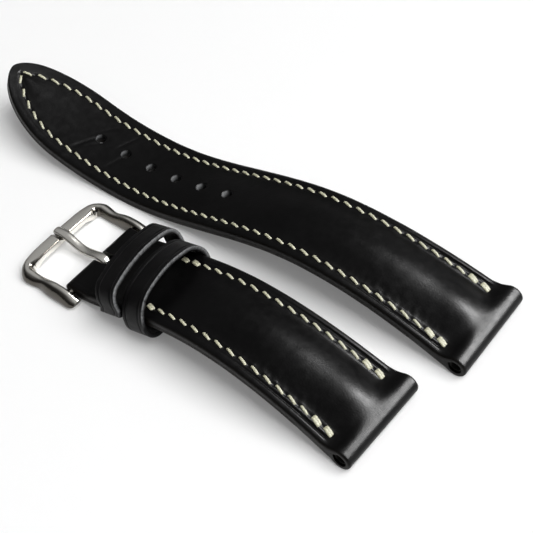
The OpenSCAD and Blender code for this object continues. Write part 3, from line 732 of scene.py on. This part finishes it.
def lining(half):
    start = turn_in + layer_gap
    middle_end, step_up = half.path - tip_len, half.path - buckle_turn_in
    if half.tip:
        far = tip_steps(half, 50)
    else:
        middle_end, end = step_up - 0.4, half.path - slot_back
        far = np.concatenate([step_up + np.array([-0.35, -0.2, 0.0, 0.2]),
                              np.linspace(step_up + 0.8, end - lining_round, 28), [end]])
    middle = np.arange(start + 0.6, middle_end, 0.45)
    s = np.concatenate([[start, start + lining_round], middle, far])
    across = columns(half, s, 0.7, (7, 8, 3, 1))
    piece = cut_flat(f"{half.name}_lining_leather", s, across, lining_t, lining_round)
    if half.tip:
        punch(piece, 0, 0.1, lining_t)
    else:
        reach = fixed_plan["width"] / 2 + 0.05
        ends = fixed_plan["at"] - reach, fixed_plan["at"] + reach
        for side in (-1, 1):
            edges = sorted((side * (fixed_plan["opening"] / 2 - 0.04), side * 12))
            cutter = box_cutter((ends[0], edges[0], -1), (ends[1], edges[1], 3))
            x, y, z = points_of(cutter).T
            move_points(cutter, np.stack([x + keeper_turn(fixed_plan, y, lining_t) * y, y, z], -1))
            take_away(piece, cutter)
    lay_lining(half, piece)
    return finish_mesh(piece)


long_lining_piece = lining(long_half)
short_lining_piece = lining(short_half)

# %% [markdown]
# ## Padding and tape
# Inside the strap lies a lens of soft board, thick by the watch and skived to nothing towards
# the holes. A woven tape lines each spring-bar tunnel and runs back under the padding. Both
# are hidden by leather, but they give the strap its form, and the tape's edge shows in the
# mouth of the tunnel.


# %% Padding
def padding(half):
    start, end = tunnel_r + tape_t + 0.1, half.pad_out - 6
    s = np.concatenate([np.arange(start, roll_blend, 0.35), np.linspace(roll_blend, end, 46)])
    k = half.lug_share(s)
    wide = 0.7 * half.dome_edge(s) * (1 - k) + (half.width(s) - 1.2) * k
    across = wide[:, None] * np.linspace(-1, 1, 25)[None, :]
    piece = cut_flat(f"{half.name}_padding_board", s, across, 1, 0.3)
    s, v, z = points_of(piece).T
    low = lining_t + layer_gap
    high = np.maximum(half.inner_height(s, v) - pad_gap, low + 0.03)
    move_points(piece, half.place(s, v, low + (high - low) * z))
    return finish_mesh(piece)


long_pad = padding(long_half)
short_pad = padding(short_half)


# %% Tunnel tape
def tunnel_tape(half):
    """A tape from its tail, round the tunnel, and back to where the ring started."""
    tail, ring = turn_in - 0.5, 2 * pi * (tunnel_r + tape_t / 2)
    t = np.concatenate([np.linspace(0, tail, 16), tail + ring * np.arange(1, 41) / 40])
    wide = lug_w / 2 - 0.6
    across = np.tile(wide * np.linspace(-1, 1, 41), (len(t), 1))
    piece = cut_flat(f"{half.name}_tunnel_tape", t, across, tape_t, 0.08)
    t, v, z = points_of(piece).T
    low, high, share = roll_t + layer_gap, lining_t, z / tape_t
    height = low + (high - low) * share
    flat = half.place(np.clip(tail - t, 0, tail), v, height)
    angle = pi - 2 * pi * np.clip((t - tail) / ring, 0, 0.985)
    in_ring = fade((t - tail) / 0.8)
    out = (roll_r - height) * (1 - in_ring) + (tunnel_r + (1 - share) * tape_t) * in_ring
    turned = half.round_bar(0.0, 1, angle, roll_r, out, v)
    move_points(piece, np.where((t < tail)[:, None], flat, turned))
    return finish_mesh(piece)


long_tape = tunnel_tape(long_half)
short_tape = tunnel_tape(short_half)

# %% [markdown]
# ## Stitches
# A saddle stitch in waxed linen shows as short bars that lean a little to one side. Each is a
# twist of two plies that arches over the leather and dives into the awl hole at both ends. One
# stitch for the top and a flatter one for the table side are modelled from cylinders. The rows
# are sewn with copies of them, and the two stitches by a lug or by the keepers are doubled.

# %% Model stitches
thread_r = 0.28
plies = 2.6
stitch_dive = 0.42
stitch_lean = radians(16)
double_gap = 0.22


def make_stitch(name, length, arch, flat):
    """A twist of two plies along X, arched over its middle, with its ends under the surface."""
    bpy.ops.object.select_all(action="DESELECT")
    bpy.ops.mesh.primitive_cylinder_add(vertices=8, radius=mm, depth=2 * mm, calc_uvs=True)
    stitch = named(name)
    z = [point.co.z for point in stitch.data.vertices]
    pick(stitch, "EDGE", lambda edge: abs(z[edge.vertices[0]] - z[edge.vertices[1]]) > mm)
    bpy.ops.mesh.subdivide(number_cuts=6)
    bpy.ops.object.mode_set(mode="OBJECT")
    co = points_of(stitch)
    x, angle = co[:, 2], np.arctan2(co[:, 1], co[:, 0])
    ply = np.cos(2 * (angle - pi * plies * x / 2))
    # The colour is darker in the grooves between the two strands: painted shade.
    paint(stitch, "ply", 0.5 + 0.5 * ply)
    r = thread_r * (1 + 0.07 * ply) * (1 - 0.32 * np.abs(x) ** 3)
    ends = np.abs(x) ** 4.5
    height = arch * (1 - ends) - stitch_dive * ends
    move_points(stitch, np.stack([
        x * length / 2, r * np.cos(angle), height + flat * r * np.sin(angle)], -1))
    with editing(stitch):
        face_outwards()
    bpy.ops.object.shade_smooth()
    return stitch


top_stitch = make_stitch("top_stitch", stitch_len + 0.5, 0.1, 0.78)
under_stitch = make_stitch("under_stitch", stitch_len + 0.4, 0.05, 0.55)
print("one stitch has", len(top_stitch.data.polygons), "faces")


# %% Sew the rows
def sew(half, side, name):
    """Copies the stitch to every place of one row, on the top and on the table side."""
    at = stitch_stations(half)
    copies = []
    for i, s in enumerate(at):
        nearby = np.array([s - 0.5, s, s + 0.5])
        row_at = half.row(nearby)
        turn = side * atan2(row_at[0] - row_at[2], 1)
        by_lug, by_keeper = i < 2, not half.tip and i > len(at) - 3
        fat = 1.3 if by_lug else 1.08 if by_keeper else 1
        for shift in (-double_gap, double_gap) if by_lug or by_keeper else (0,):
            v = side * row_at[1] + shift
            high = edge_t + half.lift(nearby, v).max() - channel_deep
            copies.append(seat(half, top_stitch, s, v, high, turn - stitch_lean, fat))
        low = 0.36 if s > 10.5 else 0
        copies.append(seat(half, under_stitch, s, side * row_at[1], low, turn, flip=True))
    row = join_as(name, copies)
    print(f"{name}: {len(at)} stitches, {len(row.data.polygons)} faces")
    return row


def seat(half, stitch, s, v, h, turn, fat=1, flip=False):
    """One copy of a stitch, turned and put in its place on the strap."""
    copy = copy_of(stitch)
    x, y, z = points_of(stitch).T * [[1], [fat], [1]]
    if flip:
        y, z = -y, -z
    along_row = x * cos(turn) - y * sin(turn)
    over_row = x * sin(turn) + y * cos(turn)
    start = half.point(s, v, h)
    toward = half.point(s - 1, v, h) - start
    side = np.array([-sin(half.turn), cos(half.turn), 0])
    toward = toward / np.linalg.norm(toward)
    up = np.cross(toward, side)
    co = start + along_row[:, None] * toward + over_row[:, None] * side + z[:, None] * up
    move_points(copy, co)
    return copy


rows = {f"{half.name}_stitching_{hand}": sew(half, side, f"{half.name}_thread_{hand}")
        for half in (long_half, short_half) for hand, side in (("left", -1), ("right", 1))}
for model in (top_stitch, under_stitch):
    throw_away(model)

# %% [markdown]
# ## Keepers
# A keeper is a short belt of leather round the strap. Each is cut flat as a strip, creased near
# both edges, and bent round a rounded outline whose top is slightly arched. The fixed one has
# thinned ends sewn between the layers, and the free one is closed by two stitches under the strap.


# %% Keeper outline
def arc(x, z, r, start, end, count):
    """Points of an arc, from one angle to another."""
    a = np.linspace(start, end, count)
    return np.stack([x + r * np.cos(a), z + r * np.sin(a)], -1)


def loop_line(wide, high, low_r, high_r, crown_r, opening):
    """One face of a keeper, from its end under the strap, up, over, and down to the other end."""
    reach, crown_z = wide / 2 - high_r, high - crown_r
    corner_z = crown_z + sqrt((crown_r - high_r) ** 2 - reach**2)
    meet = atan2(corner_z - crown_z, reach)
    right = np.concatenate([
        np.linspace((opening / 2, 0), (wide / 2 - low_r, 0), 22)[:-1],
        arc(wide / 2 - low_r, low_r, low_r, -pi / 2, 0, 17)[:-1],
        np.linspace((wide / 2, low_r), (wide / 2, corner_z), 8)[:-1],
        arc(reach, corner_z, high_r, 0, meet, 34)[:-1],
        arc(0, crown_z, crown_r, meet, pi / 2, 44)])
    return np.concatenate([right, (right * [-1, 1])[::-1][1:]])


def stand(plan, ahead, side, h):
    """A keeper's point in space. Ahead is towards the lug, and h is height off the strap."""
    ahead = ahead - keeper_turn(plan, side, h) * side - plan["lean"] * (h - plan["lean_from"])
    start = short_half.point(plan["at"], 0.0, 0.0)
    ux, uz = (u[0] for u in short_half.up(np.array([plan["at"]])))
    return np.stack([start[0] + ahead * uz + h * ux, side, start[2] - ahead * ux + h * uz], -1)


def keeper(name, plan, seed):
    """A strip cut flat and bent round its outline, with a crease near each edge."""
    wide = 2 * (short_half.width(np.array(plan["at"] - plan["width"] / 2)) + plan["gap"])
    rise = plan["top"] - plan["base"]
    inner = loop_line(wide, rise, plan["low_r"] - plan["base_t"], plan["high_r"] - keeper_t,
                      plan["crown_r"] - keeper_t, plan["opening"]) + [0, plan["base"]]
    outer = loop_line(wide + 2 * keeper_t, rise + plan["base_t"] + keeper_t, plan["low_r"],
                      plan["high_r"], plan["crown_r"], plan["opening"])
    outer = outer + [0, plan["base"] - plan["base_t"]]
    along = np.diff((inner + outer) / 2, axis=0)
    t = np.concatenate([[0], np.cumsum(np.hypot(*along.T))])
    half_wide = plan["width"] / 2
    marks = [np.full(len(t), half_wide - inset) for inset in (1.5, 0.3, 0.12, 0)]
    piece = cut_flat(name, t, mirrored(steps_to(0 * t, marks, (5, 9, 1, 1))), keeper_t, keeper_round)
    flat = points_of(piece)
    at_rim = np.abs(flat[:, 1]) > 0.99 * half_wide
    t_in, ahead, z = round_edges(*flat.T, keeper_t, half_wide, (t[0], t[-1]), keeper_round)
    ahead = ahead + 0.05 * smooth_noise(flat, 1.5, seed + 2) * at_rim
    line_in, line_out = (np.stack([np.interp(t_in, t, line[:, k]) for k in (0, 1)], -1)
                         for line in (inner, outer))
    out = line_out - line_in
    thick = np.linalg.norm(out, axis=1)
    from_rim = half_wide - np.abs(ahead)
    crease = 0.12 * bump_at(from_rim, 1.0, 0.14) * (z > keeper_t / 2)
    waves = 0.06 * smooth_noise(flat, 0.18, seed) + 0.02 * smooth_noise(flat, 0.7, seed + 1)
    waves = waves * fade(line_in[:, 1] - plan["base"])
    line = line_in + out * (z / keeper_t + (waves - crease) / thick)[:, None]
    move_points(piece, stand(plan, ahead, line[:, 0], line[:, 1]))
    low_near = fade((3.2 - line[:, 1]) / 3) * (line[:, 0] < 0)
    ragged = np.clip(0.8 + 0.7 * smooth_noise(flat, 2.6, seed + 5), 0, 1)
    paint(piece, "raw", at_rim * (z > 0.3) * ragged * (1 - 0.9 * low_near))
    paint(piece, "burnished", 0 * t_in)
    return finish_mesh(piece)


fixed_loop = keeper("fixed_keeper_leather", fixed_plan, 21)
free_loop = keeper("free_keeper_leather", free_plan, 31)

# %% [markdown]
# The free keeper's two ends meet under the strap. Two short stitches cross the joint.

# %% Keeper thread
keeper_stitch = make_stitch("keeper_stitch", 2.2, 0.02, 0.4)
crossings = []
for sign in (-1, 1):
    copy = copy_of(keeper_stitch)
    x, y, z = points_of(keeper_stitch).T
    below = free_plan["base"] - keeper_t - 0.1 - np.maximum(z, -0.05)
    move_points(copy, stand(free_plan, sign * free_plan["width"] / 4 + 0.7 * y, x, below))
    with editing(copy):
        face_outwards()
    crossings.append(copy)
joint_thread = join_as("free_keeper_stitches", crossings)
throw_away(keeper_stitch)
print("the keeper's joint has", len(joint_thread.data.polygons), "faces of thread")

# %% [markdown]
# ## Buckle
# The frame is one bar, bent to a U. It starts as a flat grid that is rolled up into a tube, with
# one ring of points for each station of the bar. Each ring is a rounded box, and its width and
# height follow the bar: low at the front, waisted along the arms, and full beside the ears.

# %% Blank for a bar
bar_sides = 28


def bar_blank(name, rings):
    """A grid to be rolled into a tube, with each point's ring and its angle round the ring."""
    bpy.ops.object.select_all(action="DESELECT")
    bpy.ops.mesh.primitive_grid_add(x_subdivisions=rings - 1, y_subdivisions=bar_sides, size=2 * mm)
    piece = named(name)
    co = points_of(piece)
    ring = np.rint((co[:, 0] + 1) / 2 * (rings - 1)).astype(int)
    return piece, ring, np.rint((co[:, 1] + 1) / 2 * bar_sides) * 2 * pi / bar_sides


def box_ring(angle, power):
    """Across and up from -1 to 1 round a rounded box. A higher power gives sharper corners."""
    c, s = np.cos(angle), np.sin(angle)
    return np.sign(c) * np.abs(c) ** (2 / power), np.sign(s) * np.abs(s) ** (2 / power)


def roll_up(piece, co):
    """Moves the grid's points to the tube, welds its seam and closes both ends."""
    move_points(piece, co)
    with editing(piece):
        bpy.ops.mesh.remove_doubles(threshold=0.0001 * mm)
        bpy.ops.mesh.fill_holes(sides=0)
        face_outwards()


def columns_of(*columns):
    """One table from columns of numbers, where a plain number fills its column."""
    return np.stack(np.broadcast_arrays(*columns), -1)


# %% Frame
frame_in = 9.0
arm_w = 1.95
foot = 0.7
bar_w = 2.5
buckle_reach = 12.7
ear_nose = 2.7
corner_at = 9.7
bend_r = 1.875
bar_top = 2.9
bar_arch = 240
saddle_z, saddle_r, saddle_half = 3.7, 1.5, 1.4
tongue_w = 1.85
bore_r = 0.45
bore_deep = 1.25
arm_profile = [
    [-corner_at, 2.48, -0.1], [-7.5, 2.2, 0], [-2.7, 3.15, 0.02],
    [-0.7, 3.12, -0.2], [1.0, 2.6, -0.45], [2.7, 1.75, -0.6]]


def half_frame():
    """Stations from the near ear to the bar's middle: place, direction out, widths, heights."""
    arm_y = frame_in + arm_w / 2
    nose = ear_nose * np.sin(np.radians(np.linspace(86, 4, 18)))
    x = np.concatenate([nose, np.arange(0, -corner_at, -0.2)])
    waist = 0.4 * bump_at(x, -6.6, 1.7)
    nose_share = np.clip(x / ear_nose, 0, 1)
    below = pivot_h - pivot_h * (1 - nose_share**2.6) ** (1 / 2.6)
    arm = columns_of(x, -arm_y, 0, -1, arm_w / 2, arm_w / 2 + foot * (1 - nose_share**4) - waist,
                     below, along(arm_profile, x, rise_between))
    a = np.radians(np.linspace(270, 180, 17))
    cx, cy = -corner_at, bend_r - arm_y
    y = cy + bend_r * np.sin(a)
    turned = (270 - np.degrees(a)) / 90
    bar_out = buckle_reach - corner_at - bend_r
    corner = columns_of(cx + bend_r * np.cos(a), y, np.cos(a), np.sin(a),
                        arm_w / 2 + (bar_w - bar_out - arm_w / 2) * turned,
                        arm_w / 2 + foot + (bar_out - arm_w / 2 - foot) * turned,
                        0, bar_top - y**2 / bar_arch)
    y = np.linspace(cy, 0, 55)[1:]
    saddle = saddle_z - np.sqrt(np.maximum(0, saddle_r**2 - y**2))
    saddle = np.where(np.abs(y) < saddle_half, saddle, bar_top)
    bar = columns_of(-corner_at - bend_r, y, -1, 0, bar_w - bar_out, bar_out,
                     1.1 * fade((8 - np.abs(y)) / 2.5),
                     np.minimum(bar_top - y**2 / bar_arch, saddle))
    return np.concatenate([arm, corner, bar])


def buckle_frame_piece():
    near = half_frame()
    far = near[::-1] * [1, -1, 1, -1, 1, 1, 1, 1]
    stations = np.concatenate([near, far])
    piece, ring, angle = bar_blank("buckle_frame_steel", len(stations))
    x, y, out_x, out_y, w_in, w_out, low, high = stations[ring].T
    on_arm = fade((np.abs(y) - 6.6) / 3.2)
    side, up = box_ring(angle, 5 - 3 * on_arm)
    reach = side * np.where(side > 0, w_out, w_in)
    widest = low + (0.5 - 0.28 * on_arm) * (high - low)
    z = widest + up * np.where(up > 0, high - widest, widest - low)
    roll_up(piece, np.stack([x + reach * out_x + pivot.x, y + reach * out_y, z + table_z], -1))
    bpy.ops.object.select_all(action="DESELECT")
    hole = 2 * (frame_in + bore_deep)
    bpy.ops.mesh.primitive_cylinder_add(
        vertices=24, radius=bore_r * mm, depth=hole * mm,
        location=Vector((pivot.x, 0, pivot_h + table_z)) * mm, rotation=(pi / 2, 0, 0))
    take_away(piece, bpy.context.object)
    nx, ny, nz = np.array([v.normal for v in piece.data.vertices]).T
    x = points_of(piece)[:, 0] - pivot.x
    # The flanks, the front bar's inner top bevel and the ears' ends get a dark steel colour: painted
    # shade that stands in for the dark reflections on these faces.
    flank = fade((np.abs(ny) - 0.25) / 0.3)
    bevel = fade((nx - 0.2) / 0.2) * fade((nz - 0.2) / 0.2) * (x < -9)
    nose = fade((nx - 0.5) / 0.3) * (x > 1)
    paint(piece, "brushed", np.max([flank, bevel, nose], axis=0))
    return finish_mesh(piece, 60)


buckle = buckle_frame_piece()

# %% [markdown]
# ## Tongue
# The tongue is bar stock too. One end is curled round the spring bar's tube. The blade dips in
# its middle, rises over the front bar and lies in a shallow saddle there.

# %% Tongue
ring_in, ring_out = 0.8, 1.63
tongue_t = 1.25
tongue_end = buckle_reach - 0.1
tongue_profile = [
    [0, pivot_h + ring_out, 0], [5.2, 2.45, 0],
    [9.8, 3.85, 0.08], [tongue_end, 3.7, -0.16]]


def tongue_piece():
    """Rings round the tube, then along the blade: middle, outward normal and half thickness."""
    a = np.radians(np.linspace(-168, 90, 44))
    mid = (ring_in + ring_out) / 2
    curl = columns_of(mid * np.cos(a), pivot_h + mid * np.sin(a), np.cos(a), np.sin(a),
                      (ring_out - ring_in) / 2)
    b = np.concatenate([np.arange(0.3, tongue_end - 0.7, 0.25),
                        tongue_end - 0.7 * (1 - np.sin(np.radians(np.linspace(0, 88, 8))))])
    thick = (ring_out - ring_in) + (tongue_t - ring_out + ring_in) * fade(b / 3)
    blunt = np.sqrt(np.clip(1 - ((b - tongue_end + 0.7) / 0.75).clip(0) ** 2, 0, 1))
    top = along(tongue_profile, b, rise_between)
    tilt = np.arctan(along(tongue_profile, b, slope_between))
    blade = columns_of(-b, top - thick / 2, np.sin(tilt), np.cos(tilt), thick / 2 * blunt)
    stations = np.concatenate([curl, blade])
    wide = np.concatenate([0 * a + tongue_w / 2, tongue_w / 2 * (0.45 + 0.55 * blunt)])
    piece, ring, angle = bar_blank("buckle_tongue_steel", len(stations))
    x, z, out_x, out_z, half_t = stations[ring].T
    side, up = box_ring(angle, 2.3)
    roll_up(piece, np.stack([x + up * half_t * out_x + pivot.x, side * wide[ring],
                             z + up * half_t * out_z + table_z], -1))
    normals = np.array([v.normal for v in piece.data.vertices])
    # The tongue's sides get part of the same dark steel colour, a painted shade.
    paint(piece, "brushed", 0.6 * fade((np.abs(normals[:, 1]) - 0.6) / 0.3))
    return finish_mesh(piece, 60)


tongue = tongue_piece()

# %% [markdown]
# ## Materials
# Every material is made of nodes, so it needs no image. The leather is nearly black, and its
# look comes from its gloss and a fine grain. Points painted as burnished show the polished side
# of the strap, and pale fibres show where leather was cut through; on the lit side of each hole
# this fibre colour is a painted highlight. The steel's darker sides are painted shade.


# %% Node helpers
def new_material(name):
    material = bpy.data.materials.new(name)
    material.use_nodes = True
    return material, material.node_tree, material.node_tree.nodes["Principled BSDF"]


def add(tree, kind, inputs=None, **settings):
    """Adds a node. An input is a value or another node's output, which is then linked."""
    node = tree.nodes.new("ShaderNode" + kind)
    for key, value in settings.items():
        setattr(node, key, value)
    for key, value in (inputs or {}).items():
        if isinstance(value, bpy.types.NodeSocket):
            tree.links.new(value, node.inputs[key])
        else:
            node.inputs[key].default_value = value
    return node


def mix_color(tree, share, a, b):
    a, b = ((*c, 1) if isinstance(c, tuple) else c for c in (a, b))
    return add(tree, "Mix", {0: share, 6: a, 7: b}, data_type="RGBA").outputs[2]


def painted(tree, name):
    return add(tree, "Attribute", attribute_name=name).outputs["Fac"]


def noise_at(tree, scale, detail=3):
    place = add(tree, "TexCoord").outputs["Object"]
    return add(tree, "TexNoise", {"Vector": place, "Scale": scale, "Detail": detail}).outputs["Fac"]


def to_range(tree, value, low, high, start=0.3, end=0.7):
    return add(tree, "MapRange", {"Value": value, "From Min": start, "From Max": end,
                                  "To Min": low, "To Max": high}).outputs["Result"]


def bumped(tree, shader, height, strength, deep):
    bump = add(tree, "Bump", {"Height": height, "Strength": strength, "Distance": deep})
    tree.links.new(bump.outputs["Normal"], shader.inputs["Normal"])


# %% Leather
def leather(name, dark, light, burnished, rough):
    material, tree, shader = new_material(name)
    cloud = to_range(tree, noise_at(tree, 160), 0.0, 1.0)
    color = mix_color(tree, cloud, dark, light)
    color = mix_color(tree, painted(tree, "burnished"), color, burnished)
    # Pale cut fibre shows on cut keeper rims, and on the lit side of the holes as a painted highlight.
    fibre = mix_color(tree, noise_at(tree, 4200), (0.09, 0.092, 0.095), (0.24, 0.245, 0.25))
    color = mix_color(tree, painted(tree, "raw"), color, fibre)
    tree.links.new(color, shader.inputs["Base Color"])
    gloss = to_range(tree, noise_at(tree, 700), rough - 0.04, rough + 0.05)
    raw = painted(tree, "raw")
    gloss = add(tree, "Mix", {0: raw, 2: gloss, 3: 0.9}, data_type="FLOAT").outputs[0]
    tree.links.new(gloss, shader.inputs["Roughness"])
    shader.inputs["Specular IOR Level"].default_value = 0.11
    bumped(tree, shader, noise_at(tree, 3000, 2), 0.5, 0.04 * mm)
    return material


polished = (0.004, 0.0034, 0.0028)
calf = leather("black_calf", (0.0008, 0.0007, 0.0008), (0.0016, 0.0015, 0.0016), polished, 0.35)
# The keepers get a lighter calf than the strap: painted sheen standing in for the brighter reflections
# on their sides.
keeper_calf = leather(
    "keeper_calf", (0.0014, 0.0012, 0.0014), (0.003, 0.0028, 0.003), polished, 0.42)
lining_calf = leather(
    "lining_calf", (0.008, 0.007, 0.006), (0.016, 0.014, 0.012), (0.006, 0.005, 0.004), 0.55)


# %% Thread, board, tape and steel
def cloth(name, dark, light, scale, rough, share=None):
    material, tree, shader = new_material(name)
    grain = noise_at(tree, scale)
    mixed = painted(tree, share) if share else to_range(tree, grain, 0.0, 1.0)
    tree.links.new(mix_color(tree, mixed, dark, light), shader.inputs["Base Color"])
    shader.inputs["Roughness"].default_value = rough
    bumped(tree, shader, grain, 0.3, 0.03 * mm)
    return material


# The linen's darker colour lies in the grooves of the twist, a painted shade.
linen = cloth("waxed_linen", (0.36, 0.35, 0.23), (0.53, 0.52, 0.38), 5000, 0.6, "ply")
board = cloth("soft_board", (0.36, 0.27, 0.17), (0.48, 0.38, 0.26), 900, 0.9)
tape_cloth = cloth("woven_tape", (0.003, 0.0025, 0.002), (0.01, 0.008, 0.006), 2500, 0.85)


def satin_steel():
    material, tree, shader = new_material("satin_steel")
    tone = to_range(tree, noise_at(tree, 300), 0.0, 1.0)
    color = mix_color(tree, tone, (0.8, 0.78, 0.73), (0.86, 0.84, 0.79))
    # Points painted with steel shade take a dark colour: painted shade for the dark reflections on the
    # sides.
    color = mix_color(tree, painted(tree, "brushed"), color, (0.095, 0.088, 0.077))
    tree.links.new(color, shader.inputs["Base Color"])
    shader.inputs["Metallic"].default_value = 1.0
    gloss = to_range(tree, noise_at(tree, 1800), 0.17, 0.25)
    tree.links.new(gloss, shader.inputs["Roughness"])
    bumped(tree, shader, noise_at(tree, 6000, 2), 0.06, 0.01 * mm)
    return material


steel = satin_steel()
print("materials:", [m.name for m in (calf, keeper_calf, lining_calf, linen, board, tape_cloth, steel)])

# %% [markdown]
# ## Putting the pieces in the frame
# Each piece takes the place of the CAD node that it stands for, which is hidden. The spring bar is good
# as the CAD has it, so its solids stay and only get their steel.


# %% Dress the frame
dressed = []


def dress(piece, body, node, material):
    """Gives a piece its material and its body, and hides and lists the CAD node that it stands for."""
    piece.data.materials.clear()
    piece.data.materials.append(material)
    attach(piece, body)
    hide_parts(node)
    dressed.append(node)


for half, outer, inner, pad, tape in (
        (long_half, long_outer, long_lining_piece, long_pad, long_tape),
        (short_half, short_outer, short_lining_piece, short_pad, short_tape)):
    body = f"{half.name}_half"
    dress(outer, body, f"{half.name}_top_leather", calf)
    dress(inner, body, f"{half.name}_lining", lining_calf)
    dress(pad, body, f"{half.name}_padding", board)
    dress(tape, body, f"{half.name}_lug_tape", tape_cloth)
for node, row in rows.items():
    dress(row, node.split("_")[0] + "_half", node, linen)
dress(fixed_loop, "short_half", "fixed_keeper", keeper_calf)
dress(free_loop, "free_keeper", "free_keeper", keeper_calf)
dress(joint_thread, "free_keeper", "free_keeper_thread", linen)
dress(buckle, "buckle_frame", "buckle_frame", steel)
dress(tongue, "buckle_tongue", "buckle_tongue", steel)
for node in ("spring_bar_tube", "spring_bar_spring", "spring_bar_tip_left", "spring_bar_tip_right"):
    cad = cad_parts[node]
    cad.data.materials.clear()
    cad.data.materials.append(steel)
print("dressed", len(dressed), "pieces")

# %% [markdown]
# ## Floor and light
# The product lies on white paper. A wide sheet of light, which only matt surfaces see, gives
# the soft shadows. A narrow card, which only gloss shows, draws the highlight along the leather.
# The paper glows a little where the camera or a reflection sees it, as overexposed paper does
# in a photograph, and it still keeps the shadows.

# %% Floor
paper_glow = 0.14
bpy.ops.object.select_all(action="DESELECT")
bpy.ops.mesh.primitive_plane_add(size=4, location=(0, 0, table_z * mm))
floor = named("floor")
paper, tree, shader = new_material("paper")
shader.inputs["Base Color"].default_value = (0.9, 0.9, 0.9, 1)
shader.inputs["Roughness"].default_value = 0.9
shader.inputs["Specular IOR Level"].default_value = 0.0
ray = add(tree, "LightPath").outputs
looks = {0: ray["Is Camera Ray"], 1: ray["Is Glossy Ray"]}
seen = add(tree, "Math", looks, operation="MAXIMUM").outputs[0]
seen = add(tree, "Math", {0: seen, 1: paper_glow}, operation="MULTIPLY").outputs[0]
glow = add(tree, "Emission", {"Color": (1, 1, 1, 1), "Strength": 1.0}).outputs[0]
blend = add(tree, "MixShader", {0: seen, 1: shader.outputs[0], 2: glow})
tree.links.new(blend.outputs[0], tree.nodes["Material Output"].inputs["Surface"])
floor.data.materials.append(paper)

# %% Lamps
def soft_lamp(name, place, long_side, size, power):
    """An area lamp that faces the origin, with its long side along a direction."""
    bpy.ops.object.light_add(type="AREA", location=place)
    lamp = named(name)
    back = place.normalized()
    up = back.cross(long_side).normalized()
    lamp.rotation_euler = Matrix((up.cross(back), up, back)).transposed().to_euler()
    lamp.data.shape = "RECTANGLE"
    lamp.data.size, lamp.data.size_y = size
    lamp.data.energy = power
    return lamp


overhead = soft_lamp("overhead_sheet", Vector((0.54, 0.18, 0.96)), Vector((1, 0, 0)), (1, 1), 16.1)
overhead.visible_glossy = False
card = soft_lamp(
    "gloss_card", Vector((0.25, 0.28, 0.31)), Vector((0.81, 0, -0.59)), (0.44, 0.14), 15)
card.visible_diffuse = False
print("lamps:", overhead.name, card.name)

# %% World
world = bpy.data.worlds.new("studio")
bpy.context.scene.world = world
world.use_nodes = True
tree = world.node_tree
height = add(tree, "SeparateXYZ", {0: add(tree, "TexCoord").outputs["Generated"]}).outputs["Z"]
glow = to_range(tree, height, 0.1, 0.34, 0.35, 0.72)
tree.links.new(glow, tree.nodes["Background"].inputs["Strength"])
tree.nodes["Background"].inputs["Color"].default_value = (1, 1, 1, 1)
bpy.context.scene.view_settings.view_transform = "Standard"
